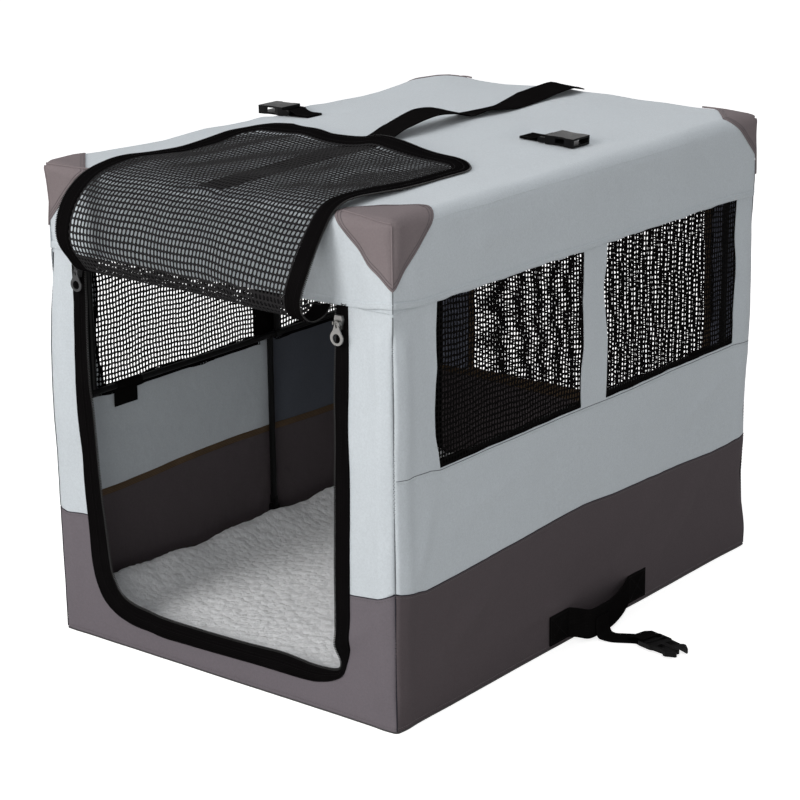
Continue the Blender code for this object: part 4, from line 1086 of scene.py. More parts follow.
def cover_mesh(name, places, inner, out, material, levels, top_step):
    """Skirt, turned edge and top in one sheet, on one side only, right round if there is no inner line."""
    closed = inner is None
    t = np.concatenate((np.linspace(0, 1, levels + 1), 1 + np.linspace(0, 1, 8)[1:]))
    grid_u, grid_t = np.meshgrid(places, t, indexing="ij")
    points = cover(grid_u, grid_t, out)
    radius = edge_radius(grid_u % GIRTH)
    height = SKIRT_Z + np.minimum(grid_t, 1) * 0.09 + np.maximum(grid_t - 1, 0) * radius * 1.57
    uv = np.stack((grid_u, height), axis=-1).reshape(-1, 2)
    count, rows = len(places), len(t)
    faces = []
    for i in range(count if closed else count - 1):
        here, ahead = i * rows, (i + 1) % count * rows
        faces += [(here + j, ahead + j, ahead + j + 1, here + j + 1) for j in range(rows - 1)]
    rim = points[:, -1, :2]
    flat, top_faces = fill(rim if closed else np.concatenate((rim, inner)), [], top_step)
    top = np.concatenate((flat, (roof_z(flat[:, 0], flat[:, 1]) + out)[:, None]), axis=-1)
    faces += [tuple(count * rows + k for k in f) for f in top_faces]
    obj = new_object(name, np.concatenate((points.reshape(-1, 3), top)), faces, material,
                     np.concatenate((uv, flat)))
    weld(obj, 0.00008)
    return obj


def make_roof():
    """The roof cover, sewn of the top and the skirt."""
    roof = cover_mesh("roof_cloth", ring_places(0.0065), None, 0.0, light_cloth, 15, 0.0072)
    thicken(roof, 0.0009)
    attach(roof, "top")
    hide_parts("roof_cover")


girth_path = ring_places(0.006)


def around(heights):
    """A flat path round the girth, at heights."""
    return np.stack(matched(girth_path, heights), axis=-1)


def make_hem():
    """The turned-up hem of the skirt and the row of stitches on it."""
    path = around(hem_height(girth_path) + 0.0005 + 0.0006 * np.cos(girth_path * 37))
    profile = tape_profile(-0.0075, 0.0004, 0.0008, 0.0014, 0.0003)
    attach(ribbon("skirt_hem", path, profile, skirt, light_cloth, closed=True), "top")
    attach(stitches("skirt_sewing", shifted(path, -0.0052, True), skirt, light_thread, True, 0.0009), "top")


make_roof()
make_hem()


# ---------------------------------------------------------------- corner patches
def cut_mesh(obj, planes, shift=0.0):
    """The object's mesh with what lies behind the planes cut away, shift metres in from them."""
    bm = bmesh.new()
    bm.from_mesh(obj.data)
    for place, way in planes:
        bmesh.ops.bisect_plane(bm, geom=bm.verts[:] + bm.edges[:] + bm.faces[:], dist=1e-6,
                               plane_co=place + way * shift, plane_no=way, clear_inner=True)
    return bm


def rim_line(obj, planes, shift):
    """The path along the hem, a distance in from it, and the directions out there."""
    bm = cut_mesh(obj, planes, shift)
    bm.normal_update()
    links = {}
    for edge in bm.edges:
        a, b = edge.verts
        middle = (a.co + b.co) / 2
        if len(edge.link_faces) == 1 and any(abs((middle - p - w * shift).dot(w)) < 1e-4 for p, w in planes):
            links.setdefault(a, []).append(b)
            links.setdefault(b, []).append(a)
    point = next((v for v, near in links.items() if len(near) == 1), next(iter(links)))
    line, last = [], None
    while point is not None and len(line) <= len(links):
        line.append((*point.co, *point.normal))
        ahead = [v for v in links[point] if v is not last and tuple(v.co) != line[0][:3]]
        last, point = point, (ahead[0] if ahead else None)
    bm.free()
    return np.array(line)[:, :3], np.array(line)[:, 3:]


PATCH_OUT, PATCH_REACH = 0.0013, 0.115
# The planes that cut each patch out: (place, direction in) of side face, end face and top
SIDE_CUT = ((0, 0.3165, 0.6045), (0, 0.074, 0.079))
SMALL_CUTS = (SIDE_CUT, ((0.201, 0, 0.609), (0.069, 0, 0.067)), ((0.236, 0.356, 0.6), (0.07, 0.07, 0)))
PATCH_CUTS = {
    "front_left": SMALL_CUTS, "back_left": SMALL_CUTS,
    "front_right": (SIDE_CUT, ((0.190, 0, 0.6045), (0.074, 0, 0.0835)),
                    ((0.182, 0.365, 0.6), (0.060, 0.066, 0))),
    "back_right": (((0, 0.345, 0.599), (0, 0.054, 0.057)), ((0.214, 0, 0.609), (0.069, 0, 0.067)),
                   ((0.205, 0.3935, 0.6), (0.0755, 0.0615, 0))),
}


def corner_patch(name, place, sx, sy):
    """A dark patch of three sewn faces over a corner of the roof."""
    span = ring_places(0.004, place - PATCH_REACH, place + PATCH_REACH, 0.0015)
    first, last = cover(span[0], 2.0)[:2], cover(span[-1], 2.0)[:2]
    inner = dense((last, (sx * (HALF_W - PATCH_REACH), sy * (HALF_L - PATCH_REACH)), first), 0.004)[1:-1]
    cap = cover_mesh("corner_cap_" + name, span, inner, PATCH_OUT, patch_cloth, 22, 0.0042)
    flip = np.array((sx, sy, 1))
    planes = [(Vector(flip * p), Vector(flip * w).normalized()) for p, w in PATCH_CUTS[name]]
    rows = [sew_line(f"cap_sewing_{name}_{k}", *rim_line(cap, planes, depth), taupe_thread)
            for k, depth in enumerate((0.0028, 0.0058))]
    upright = cover(np.full(40, place), np.linspace(0.30, 1.25, 40), PATCH_OUT + 0.0004)
    flank = -1 if name in ("front_right", "back_left") else 1
    sloping = cover(place + flank * np.linspace(0.0, 0.078, 30), np.linspace(1.42, 1.92, 30),
                    PATCH_OUT + 0.0003)
    ridges = [tube(f"cap_ridge_{name}_{k}", path, 0.0012, patch_cloth)
              for k, path in enumerate((upright, sloping))]
    cut = cut_mesh(cap, planes)
    cut.to_mesh(cap.data)
    cut.free()
    thicken(cap, 0.0014)
    piece = join("corner_patch_" + name + "_cloth", [cap] + rows + ridges)
    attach(piece, "top")
    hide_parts("corner_patch_" + name)


for name, place, sx, sy in (("front_left", GIRTH, -1, -1), ("front_right", STARTS[1], 1, -1),
                            ("back_right", STARTS[2], 1, 1), ("back_left", STARTS[3], -1, 1)):
    corner_patch(name, place, sx, sy)


# ---------------------------------------------------------------- doorway: zip tape and teeth
def make_door_zip():
    """The doorway's tape in two layers, with its teeth and three rows of stitches."""
    zip_parts = [
        ribbon("door_tape_inner", door_lane, tape_profile(0.0, 0.0104, 0.0011, 0.0012), skin, black_binding),
        ribbon("door_tape_outer", door_lane, tape_profile(0.0090, 0.0210, 0.0021, 0.0020, 0.0007), skin,
               black_binding),
        studs("door_zip_teeth", door_lane(-0.0008), skin, TOOTH, TOOTH_STEP, nylon_teeth, out=0.0004),
    ]
    zip_parts += [stitches(f"door_tape_sewing_{k}", door_lane(across), skin, black_thread, False, out)
                  for k, (across, out) in enumerate(((0.0078, 0.0012), (0.0108, 0.0022), (0.0193, 0.0022)))]
    zip_piece = join("door_zip", zip_parts)
    ride_wall(zip_piece)
    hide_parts("door_zip_tape")


make_door_zip()


# ---------------------------------------------------------------- rolled-back door
# The door's left edge, middle and right edge seen from the side, from where it is sewn on: (y, z)
LEFT_EDGE = ((-0.3975, 0.5035), (-0.4045, 0.4925), (-0.4160, 0.4945), (-0.427, 0.508), (-0.440, 0.527),
             (-0.444, 0.546), (-0.439, 0.567), (-0.428, 0.585), (-0.410, 0.600), (-0.387, 0.6105),
             (-0.353, 0.6162), (-0.320, 0.6165), (-0.290, 0.6145), (-0.255, 0.6130), (-0.220, 0.6125),
             (-0.180, 0.6150), (-0.140, 0.6185), (-0.110, 0.6200), (-0.093, 0.6200))
MIDDLE_LINE = ((-0.3975, 0.5035), (-0.4075, 0.4950), (-0.4230, 0.4945), (-0.438, 0.508), (-0.4445, 0.530),
               (-0.4405, 0.553), (-0.431, 0.573), (-0.417, 0.591), (-0.398, 0.604), (-0.374, 0.6130),
               (-0.345, 0.6170), (-0.300, 0.6178), (-0.225, 0.6184), (-0.160, 0.6186), (-0.120, 0.6188),
               (-0.095, 0.6190))
RIGHT_EDGE = ((-0.3975, 0.5035), (-0.4110, 0.4945), (-0.4300, 0.4920), (-0.4460, 0.5020), (-0.4500, 0.520),
              (-0.4390, 0.545), (-0.4240, 0.571), (-0.4080, 0.592), (-0.3920, 0.6080), (-0.372, 0.6165),
              (-0.345, 0.6185), (-0.310, 0.6165), (-0.268, 0.6135), (-0.225, 0.6125), (-0.157, 0.6125),
              (-0.120, 0.6130), (-0.100, 0.6135))
FLAP_LINES = [smooth_line(line) for line in (LEFT_EDGE, MIDDLE_LINE, RIGHT_EDGE)]
# How far the free end curls up, across the door
END_RISE = ((-0.193, -0.165, -0.120, -0.085, -0.054, -0.010, 0.043, 0.090, 0.1435, 0.175, 0.193),
            (0.0, 0.003, 0.009, 0.006, 0.004, 0.007, 0.0096, 0.006, 0.004, 0.001, 0.0))
FLAP_LENGTH = FLAP_CUTS[-1]
FLAP_CORNER, FLAP_HEM, ROOF_CORNER = 0.045, 0.012, 0.013


def flap_base(u, s):
    """The door's cloth, u across it from its middle and s down it from its sewn edge."""
    place = np.clip(s / FLAP_LENGTH, 0, 1) * (len(FLAP_LINES[0]) - 1)
    beyond = (np.maximum(s - FLAP_LENGTH, 0) + np.minimum(s, 0))[..., None] * (0.99, 0.1)
    rows = [sample(place, np.arange(len(line)), line) + beyond for line in FLAP_LINES]
    share = np.clip(u / FLAP_HALF, -1, 1)
    left, right = (smooth(side * share * 1.15 - 0.08)[..., None] for side in (-1, 1))
    flat = rows[0] * left + rows[2] * right + rows[1] * (1 - left - right)
    x = DOOR_X + u * (1 - 0.012 * smooth((s - 0.3) / 0.16))
    y, z = flat[..., 0], flat[..., 1]
    lying = smooth((s - 0.19) / 0.05)
    front = smooth(s / 0.02) * (1 - lying)
    edge = smooth((FLAP_HALF - np.abs(u)) / 0.02)
    waves = 0.0011 * np.cos(u * 33 + s * 21 + 1.0) + 0.0009 * np.cos(u * 58 - s * 34)
    z = z + lying * waves * (0.5 + 0.5 * edge)
    z = z + lying * 0.0022 * bump(u - 0.080 + 0.35 * (s - 0.3), 0.018) * edge
    z = z + lying * 0.0026 * bump(u + 0.120 - 0.25 * (s - 0.3), 0.022) * edge
    y = y + front * (0.0020 * np.cos(u * 30 + 0.5) + 0.0012 * np.cos(u * 71 + s * 40))
    z = z + np.interp(u, *END_RISE) * smooth((s - 0.428) / 0.036)
    # Nowhere below the roof, its rounded edge and the carry strap on it
    over_edge = ROOF_CORNER - (y + HALF_L)
    sunk = np.clip(over_edge, 0, 0.0129)
    drop = ROOF_CORNER - np.sqrt(ROOF_CORNER ** 2 - sunk ** 2) + 8 * np.maximum(over_edge - 0.0129, 0)
    strap = bump(x - CARRY_X, 0.021) ** 0.5 * 0.0024
    z = np.maximum(z, np.where(s > 0.10, roof_z(x, y) + 0.0014 + strap - drop, z))
    return np.stack((x, y, z), axis=-1)


def flap(u, s, out=0.0):
    """A point of the door's cloth, at a distance out from it."""
    u, s, out = matched(u, s, out)
    here = flap_base(u, s)
    if not np.any(out):
        return here
    step = 0.001
    across = flap_base(u + step, s) - flap_base(u - step, s)
    down = flap_base(u, s + step) - flap_base(u, s - step)
    return here + unit(np.cross(across, down)) * out[..., None]


def flap_edges(s0, s1):
    """The door's edges between two cuts: one path on each side, or one right round the free end."""
    if s1 < FLAP_LENGTH:
        return [dense([(x, s0), (x, s1)], 0.005) for x in (-FLAP_HALF, FLAP_HALF)]
    low, inset = FLAP_LENGTH - FLAP_CORNER, FLAP_HALF - FLAP_CORNER
    turns = [(FLAP_CORNER * math.sin(a), FLAP_CORNER * math.cos(a)) for a in np.radians(7.5 * np.arange(13))]
    points = [(-FLAP_HALF, s0), (-FLAP_HALF, low)] + [(-inset - cos, low + sin) for sin, cos in turns[1:]]
    points += [(inset + sin, low + cos) for sin, cos in turns] + [(FLAP_HALF, s0)]
    return [dense(points, 0.005)]


def within_end(u, s):
    """Whether a net cell lies inside the rounded free end."""
    radius = FLAP_CORNER - FLAP_HEM
    over_s = s - (FLAP_LENGTH - FLAP_HEM - radius)
    over_u = np.abs(u) - (FLAP_HALF - FLAP_HEM - radius)
    corner = (over_s > 0) & (over_u > 0)
    return (s < FLAP_LENGTH - FLAP_HEM) & (~corner | (np.hypot(over_u, over_s) < radius))


def door_stretch(k, s0, s1):
    """One of the door's stretches: net, binding on both faces, teeth and stitches."""
    free = k == 3
    parts = [lattice(f"door_net_{k + 1}", (-FLAP_HALF + FLAP_HEM, FLAP_HALF - FLAP_HEM), (s0, s1),
                     (0.0056, 0.0079), (0.0020, 0.0022), flap, flap_yarn,
                     keep=within_end if free else None, slack=0.4)]
    for number, path in enumerate(flap_edges(s0, s1)):
        side = -1 if number else 1
        low, high = sorted((0.0, side * 0.0215))
        for face, out in enumerate((0.0013, -0.0005)):
            profile = tape_profile(low, high, out, 0.0009)
            parts.append(ribbon(f"door_binding_{k}_{number}_{face}", path, profile, flap, black_binding))
        parts.append(studs(f"door_teeth_{k}_{number}", shifted(path, -0.0009 * side), flap, FLAP_TOOTH,
                           TOOTH_STEP, nylon_teeth))
        parts += [stitches(f"door_sewing_{k}_{number}_{row}", shifted(path, row * side), flap,
                           black_thread, out=0.0014) for row in (0.0180, 0.0070)]
    piece = join(f"door_cloth_{k + 1}", parts)
    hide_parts(*[f"door_flap_{n}" for n in ((4, 5) if free else (k + 1,))])
    start, end = (flap_base(np.array([0.0]), np.array([FLAP_JOINTS[k] + d]))[0] for d in (-0.011, 0.011))
    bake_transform(piece)


for k, (s0, s1) in enumerate(zip(FLAP_CUTS[:-1], FLAP_CUTS[1:])):
    door_stretch(k, s0, s1)


# ---------------------------------------------------------------- webbing straps
def strip(name, line, width, thick, across):
    """Webbing along a line in space, with softened edges, across one direction or one for each point.

    Gives the piece and the line's points, directions across and directions out."""
    points, across = matched(line, across)
    ahead = unit(np.gradient(points, axis=0))
    across = square_to(across, ahead)
    normal = np.cross(ahead, across)
    a, b, c = width / 2, thick / 2, min(thick * 0.35, 0.0006)
    lanes = [-a, -a + c] + [-a + c + (width - 2 * c) * k / 8 for k in range(1, 8)] + [a - c, a]
    heights = [b - c] + [b] * 9 + [b - c]
    section = list(zip(lanes, heights)) + [(v, -h) for v, h in zip(lanes[::-1], heights)]
    lines = [points + across * v + normal * h for v, h in section]
    return band(name, lines, [v for v, _ in section], measured(points), black_web), points, across, normal


def row_on(name, points, normal, across, start, end, side, out):
    """A row of stitches along a strap from one share of its length to another, side metres off its middle."""
    low, high = int(start * (len(points) - 1)), int(end * (len(points) - 1)) + 1
    line = points[low:high] + across[low:high] * side
    return sew_line(name, line, normal[low:high], black_thread, 0.0036, out)


def upwards(normal, number=0):
    """The directions out of a strap, turned so that the one at a point of it looks up."""
    return normal if normal[number][2] > 0 else -normal


# The carry strap's height over the roof and its tilt, by depth
CARRY_RISES = ((-0.376, 0.0), (-0.300, 0.0), (-0.190, 0.0), (-0.130, 0.0), (-0.092, 0.0002), (-0.070, 0.0018),
               (-0.050, 0.0050), (-0.022, 0.0110), (0.035, 0.0165), (0.085, 0.010), (0.112, 0.0025),
               (0.135, 0.0005), (0.165, 0.0005), (0.205, 0.0005), (0.240, 0.0005), (0.270, 0.0012),
               (0.310, 0.0048), (0.345, 0.0080), (0.365, 0.0065), (0.380, 0.0020))
CARRY_TILTS = ((-0.38, -0.02, 0.03, 0.0685, 0.10, 0.142, 0.175, 0.21, 0.265, 0.31, 0.35, 0.38),
               (0.0, 0.0, 0.12, 0.12, 0.03, -0.18, -0.10, 0.0, 0.22, 0.17, 0.14, 0.0))


def carry_strap():
    """The carry strap along the roof, sewn down at both ends and beside its slack."""
    line = smooth_line([(CARRY_X, y, rise) for y, rise in CARRY_RISES], 150)
    tilt = np.interp(line[:, 1], *CARRY_TILTS)
    lean = np.stack(matched(1.0, 0.0, -tilt), axis=-1)
    line[:, 2] = np.maximum(line[:, 2], 0.0) + np.abs(tilt) * 0.019 + roof_z(line[:, 0], line[:, 1]) + 0.0011
    line[:, 0] += 0.004 * np.sin(line[:, 1] * 11) * smooth((line[:, 1] + 0.07) / 0.05)
    strap, points, across, normal = strip("carry_webbing", line, 0.038, 0.0015, lean)
    rows = [row_on(f"carry_sewing_{start}_{side}", points, upwards(normal), across, start, end, side, 0.0008)
            for start, end in ((0.0, 0.30), (0.60, 0.655), (0.965, 1.0)) for side in (-0.0150, 0.0150)]
    carry = join("carry_strap_webbing", [strap] + rows)
    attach(carry, "top")
    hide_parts("carry_strap")


# Loops of webbing round the roof buckles' bars, lying on the roof's slope
BAR_HEIGHT, LOOP_LOWER, LOOP_BEND = 0.0050, -0.0035, 0.0031
LOOP = [(-0.034, LOOP_LOWER), (-0.020, LOOP_LOWER), (-0.008, LOOP_LOWER + 0.0001), (-0.003, -0.0033)]
LOOP += [(LOOP_BEND * math.cos(math.radians(a)), LOOP_BEND * math.sin(math.radians(a)))
         for a in range(-80, 81, 32)]
LOOP += [(-0.004, 0.0026), (-0.010, 0.0000), (-0.016, LOOP_LOWER + 0.0019), (-0.024, LOOP_LOWER + 0.0017),
         (-0.034, LOOP_LOWER + 0.0017)]


def roof_loop(side, sign):
    """The webbing of a roof buckle, sewn to the roof."""
    bar_x, bar_y = ROOF_BARS[side]
    inner, outer = (crown(HALF_W - abs(bar_x + sign * reach)) for reach in (-0.034, 0.050))
    fall = (inner - outer) / 0.084
    way = Vector((sign, 0, -fall)).normalized()
    rise = Vector((fall, 0, 1)).normalized()
    rise = (rise - way * rise.dot(way)).normalized()
    middle = Vector((bar_x, bar_y, ROOF_Z + crown(HALF_W - abs(bar_x)) + BAR_HEIGHT))
    line = smooth_line([tuple(middle + way * u + rise * v) for u, v in LOOP], 70)
    strap, points, across, normal = strip("roof_loop_" + side, line, 0.030, 0.0012, (0, 1, 0))
    rows = [row_on(f"roof_loop_sewing_{side}_{place}", points, upwards(normal, -1), across,
                   0.82, 0.99, place, 0.0007) for place in (-0.0125, 0.0125)]
    piece = join("roof_webbing_cloth_" + side, [strap] + rows)
    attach(piece, "top")
    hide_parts("roof_webbing_" + side)


# The right-hand side handle, from its front end to its rear one, and the pack strap that hangs from it
HANDLE_LINE = (
    (0.2726, -0.084, 0.0255), (0.2726, -0.064, 0.0255), (0.2726, -0.044, 0.0255), (0.2736, -0.0415, 0.0255),
    (0.2816, -0.036, 0.0250), (0.2935, -0.031, 0.0242), (0.2965, -0.021, 0.0236), (0.2967, -0.005, 0.0235),
    (0.2963, 0.013, 0.0236), (0.2925, 0.036, 0.0240), (0.2850, 0.064, 0.0248), (0.2775, 0.084, 0.0253),
    (0.2736, 0.0935, 0.0255), (0.2726, 0.096, 0.0255), (0.2726, 0.116, 0.0255), (0.2726, 0.136, 0.0255))
STRAP_LINE = [(0.2989, -0.004, 0.030), (0.2989, -0.004, 0.018), (0.2995, -0.004, 0.0095),
              (0.3034, -0.004, 0.0032), (0.3140, -0.0022, 0.0014), (0.3260, 0.0038, 0.0014),
              (0.3370, 0.0102, 0.0014)]
STRAP_TURN = ((-0.0110, 0.0014), (-0.0020, 0.0014), (0.0045, 0.0016), (0.0070, 0.0035), (0.0076, 0.0066),
              (0.0066, 0.0098), (0.0030, 0.0116), (-0.0050, 0.0112), (-0.0140, 0.0080), (-0.0220, 0.0054))
BUCKLE_BAR, BUCKLE_TURN = Vector((0.358, 0.011, 0)), math.radians(-13.6)


def sewn_box(name, sign, y0, y1):
    """A box of stitches with a cross in it, on a side wall."""
    low, high = 0.0085, 0.0425
    turns = ((y0, low), (y1, low), (y1, high), (y0, high), (y0, low), (y1, high), (y1, low), (y0, high))
    line = [(sign * 0.2736, y, z) for y, z in turns]
    return sew_line(name, line, np.tile((sign, 0.0, 0.0), (len(line), 1)), black_thread, 0.0034, 0.0)


def side_handle(side, sign):
    """A low webbing handle, sewn on at both ends."""
    line = smooth_line(np.array(HANDLE_LINE) * (sign, 1, 1), 90)
    strap = strip("handle_web_" + side, line, 0.040, 0.0016, (0, 0, 1))[0]
    rows = [sewn_box(f"handle_sewing_{side}_{y0}", sign, y0, y1)
            for y0, y1 in ((-0.082, -0.046), (0.098, 0.134))]
    piece = join("side_handle_web_" + side, [strap] + rows)
    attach(piece, "handle_" + side)
    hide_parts("side_handle_" + side)


def pack_strap(side, sign):
    """A strap that hangs from a handle and lies on the floor, turned round its buckle's bar."""
    heading = Vector((math.cos(BUCKLE_TURN), math.sin(BUCKLE_TURN), 0))
    turned = [tuple(BUCKLE_BAR + heading * a + Vector((0, 0, h))) for a, h in STRAP_TURN]
    ways = [(1, 0)] * 4 + [(1, 0.35), (1, 0.55), (1, 0.45)] + [(heading.x, heading.y)] * len(STRAP_TURN)
    both = smooth_line(np.concatenate((STRAP_LINE + turned, ways), axis=1), 110)
    sideways = np.stack(matched(-both[:, 4], sign * both[:, 3], 0.0), axis=-1)
    strap = strip("pack_web_" + side, both[:, :3] * (sign, 1, 1), 0.030, 0.0014, sideways)[0]
    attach(strap, "strap_" + side)
    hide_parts("pack_strap_" + side)


carry_strap()
for side, sign in HANDS.items():
    roof_loop(side, sign)
for side, sign in HANDS.items():
    side_handle(side, sign)
    pack_strap(side, sign)


# ---------------------------------------------------------------- floor, pad and edges
def floor_surface(x, y, out=0.0):
    waves = np.cos(x * 31 + y * 17) + np.cos(x * 12 - y * 43)
    slack = 0.00025 * waves * smooth((HALF_W - np.abs(x)) / 0.03)
    return np.stack((x, y, 0.0014 + slack + out), axis=-1)


def make_floor():
    """The floor's cloth, sewn into the foot of the walls."""
    x, y = HALF_W - 0.001, HALF_L - 0.001
    flat, faces = fill(dense(((-x, -y), (x, -y), (x, y), (-x, y)), 0.012, closed=True), [], 0.013)
    floor = cloth("floor_cloth_panel", flat, faces, floor_surface, 0.0009, floor_cloth)
    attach(floor, "base")
    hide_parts("floor_panel")


def bottom_edging():
    """Piping round the foot of the walls and the stitches above it."""
    path = around(0.0013)
    profile = tape_profile(-0.0008, 0.0010, 0.0009, 0.0012, 0.0004)
    return [ribbon("bottom_piping", path, profile, skin, piping, closed=True),
            stitches("bottom_sewing", shifted(path, -0.0050, True), skin, taupe_thread, True, 0.0001)]


def away_from_corners(path, margin):
    """The stretches of a path that keep clear of the upright corners."""
    clear = corner_gap(path[:, 0]) > margin
    breaks = np.flatnonzero(np.diff(clear.astype(int))) + 1
    return [run for run, ok in zip(np.split(path, breaks), np.split(clear, breaks)) if ok[0] and len(run) > 3]


# Sections of the raised seams, the kick one painted dark as its shadow, and of a thin strip of painted shade
# along the waist seam: (distance across, height out)
KICK_RIDGE = ((0.0014, -0.0003), (0.0011, 0.0005), (0.0003, 0.0006), (0.0, -0.0003))
WAIST_RIDGE = ((0.0022, -0.0002), (0.0017, 0.0004), (0.0006, 0.0006), (0.0001, -0.0002))
WAIST_SHADE = ((0.0005, -0.0003), (0.0003, 0.00035), (-0.0003, 0.00035), (-0.0005, -0.0003))


def kick_seam_pieces():
    """The seam over the dark panels: its ridge, painted dark as the seam's shadow, its stitches and, inside,
    brown tape.
    """
    line, parts = around(kick_seam(girth_path)), []
    stretches = line[girth_path >= right_end - 0.001], line[girth_path <= left_end + 0.001]
    for number, path in enumerate(stretches):
        parts.append(ribbon(f"kick_seam_{number}", path, KICK_RIDGE, skin, seam_shadow_dark))
        parts.append(stitches(f"kick_sewing_{number}", shifted(path, 0.0042), skin, taupe_thread, out=0.0001))
        for index, run in enumerate(away_from_corners(path, 0.007)):
            profile = lining_profile(-0.0045, 0.0045, -CLOTH, 0.0009)
            parts.append(ribbon(f"kick_lining_{number}_{index}", run, profile, skin, brown_binding))
    return join("kick_seam_sewing", parts)


def waist_seam():
    """The seam at the foot of the windows, with a grey line of painted shade along it, less where the back
    window reaches below it.
    """
    line = around(waist_height(girth_path))[girth_path > STARTS[1]]
    start, end = along("back", BACK_WINDOW[1]) - 0.004, along("back", BACK_WINDOW[0]) + 0.004
    parts = []
    for number, path in enumerate((line[line[:, 0] < start], line[line[:, 0] > end])):
        parts.append(ribbon(f"waist_seam_{number}", path, WAIST_RIDGE, skin, light_cloth))
        parts.append(ribbon(f"waist_shade_{number}", path, WAIST_SHADE, skin, seam_shadow_grey))
        parts.append(stitches(f"waist_sewing_{number}", shifted(path, 0.004), skin, light_thread, out=0.0001))
    return join("waist_seam", parts)


def corner_shadow_lines():
    """Thin dark tubes of painted shadow in the grooves of the upright corner seams, those of the skirt apart.
    """
    shadow_lines, radius = [], 0.0007
    for name, place in CORNER_U.items():
        change = float(kick_seam(np.array([place]))[0])
        for part, (z0, z1, material) in enumerate(((0.003, change, seam_shadow_dark), (change, 0.506, seam_shadow_grey))):
            path = skin(place, np.arange(z0, z1, 0.004), radius)
            shadow_lines.append(tube(f"corner_shadow_line_{name}_{part}", path, radius, material, 6))
        path = skirt(place, np.arange(0.506, 0.548, 0.003), 0.0004)
        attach(tube(f"skirt_shadow_line_{name}", path, radius, seam_shadow_grey, 6), "top")
    return join("corner_shadow_lines", shadow_lines)


def make_pad():
    """A fleece mat, crowned in the middle, its rim pushed up where it meets the walls."""
    columns, rows = 130, 190
    u, v = np.meshgrid(np.linspace(-1, 1, columns + 1), np.linspace(-1, 1, rows + 1), indexing="ij")
    u, v = np.sin(u * math.pi / 2), np.sin(v * math.pi / 2)
    half_x, half_y, pinch = 0.2660, 0.3880, 0.003
    x = half_x * u * (1 - pinch / half_x * (1 - v * v))
    y = half_y * v * (1 - pinch / half_y * (1 - u * u))
    full = np.sqrt(np.clip((1 - u ** 60) * (1 - v ** 60), 0, 1))
    arch = np.sqrt(np.clip(1 - u * u, 0, 1)) * np.sqrt(np.clip(1 - v * v, 0, 1))
    rng = np.random.default_rng(4)
    pile = plane_waves([[rng.uniform(*limits) for limits in ((120, 700), (0, 2 * math.pi), (0, 2 * math.pi))]
                        for _ in range(60)], x, y)
    hollows = 0.0018 * np.cos(x * 19 + 1) * np.cos(y * 14 + 0.4)
    side_gap, end_gap = half_x - np.abs(x), half_y - np.abs(y)
    end_size = np.where(y > 0, 0.026, 0.014)
    uneven = 1 + 0.10 * np.cos(y * 26 + 1.2) + 0.06 * np.cos(y * 61)
    rise = np.maximum(0.034 * uneven * smooth(1 - side_gap / 0.070), end_size * smooth(1 - end_gap / 0.060))
    under = 0.0024 + 0.0126 * smooth(1 - np.minimum(side_gap, end_gap) / 0.045)
    z = 0.0055 + 0.0155 * full + 0.013 * arch + (0.0010 * pile + hollows + rise) * full
    top, low = (np.stack((x, y, h), axis=-1).reshape(-1, 3) for h in (np.maximum(z, under + 0.0015), under))
    index = np.arange(len(top)).reshape(columns + 1, rows + 1)
    quads = np.stack((index[:-1, :-1], index[1:, :-1], index[1:, 1:], index[:-1, 1:]), axis=-1).reshape(-1, 4)
    return new_object("pad_pile", np.concatenate((top, low)), two_sided(quads, len(top)), pad_fleece)


make_floor()
ride_wall(*bottom_edging(), kick_seam_pieces(), waist_seam(), corner_shadow_lines())
pad = make_pad()
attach(pad, "base")
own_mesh(pad)
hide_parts("fleece_pad")


# ---------------------------------------------------------------- carried-over parts
def round_edges(obj, width, segments=2):
    modifier = obj.modifiers.new("edges", "BEVEL")
    modifier.width, modifier.segments, modifier.limit_method = width, segments, "ANGLE"
    return modifier


def dress(name, material, width=0.0003, segments=2):
    """Gives a CAD node its look, with its edges rounded by a width."""
    node = NODES[name]
    node.data.materials.clear()
    node.data.materials.append(material)
    node.data.polygons.foreach_set("material_index", np.zeros(len(node.data.polygons), np.int32))
    soften(node.data, 35)
    if width:
        round_edges(node, width, segments).angle_limit = math.radians(35)


# The pulls are wider than the solid ones: half widths of neck and body, and the radius of the hole low down
NECK, WIDE, EYE = 0.0031, 0.0092, 0.0055


def zip_pull(side):
    """A flat pull with a round hole and, above it, a slot for the bail."""
    low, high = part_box("zip_pull_" + side)
    centre = ((low[0] + high[0]) / 2, (low[1] + high[1]) / 2, high[2] - 0.0026)
    turn = np.radians(np.arange(-196, 17, 12))
    outline = [(NECK, -0.003), (0.0022, 0.0022), (0.0008, 0.0027), (-0.0008, 0.0027), (-0.0022, 0.0022),
               (-NECK, -0.003), (-0.0052, -0.0085)]
    outline += [(WIDE * math.cos(a), -0.0168 + WIDE * math.sin(a)) for a in turn] + [(0.0052, -0.0085)]
    ring = np.radians(np.arange(0, 360, 15))
    slot = np.where(np.sin(ring) > 0, 0.0020, 0.0052) * np.sin(ring)
    holes = [np.stack((EYE * np.cos(ring), -0.0176 + EYE * np.sin(ring)), axis=-1),
             np.stack((0.0016 * np.cos(ring), -0.0006 + slot), axis=-1)]
    flat, faces = fill(dense(outline, 0.0012, closed=True), holes, 0.0014)

    def plate(x, z, out):
        return np.stack((centre[0] + x, centre[1] - out + 0 * x, centre[2] + z), axis=-1)

    pull = cloth("pull_plate_" + side, flat, faces, plate, 0.0016, ZIP_METALS[side], 0.0008)
    round_edges(pull, 0.0003)
    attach(pull, "pull_" + side)
    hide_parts("zip_pull_" + side)


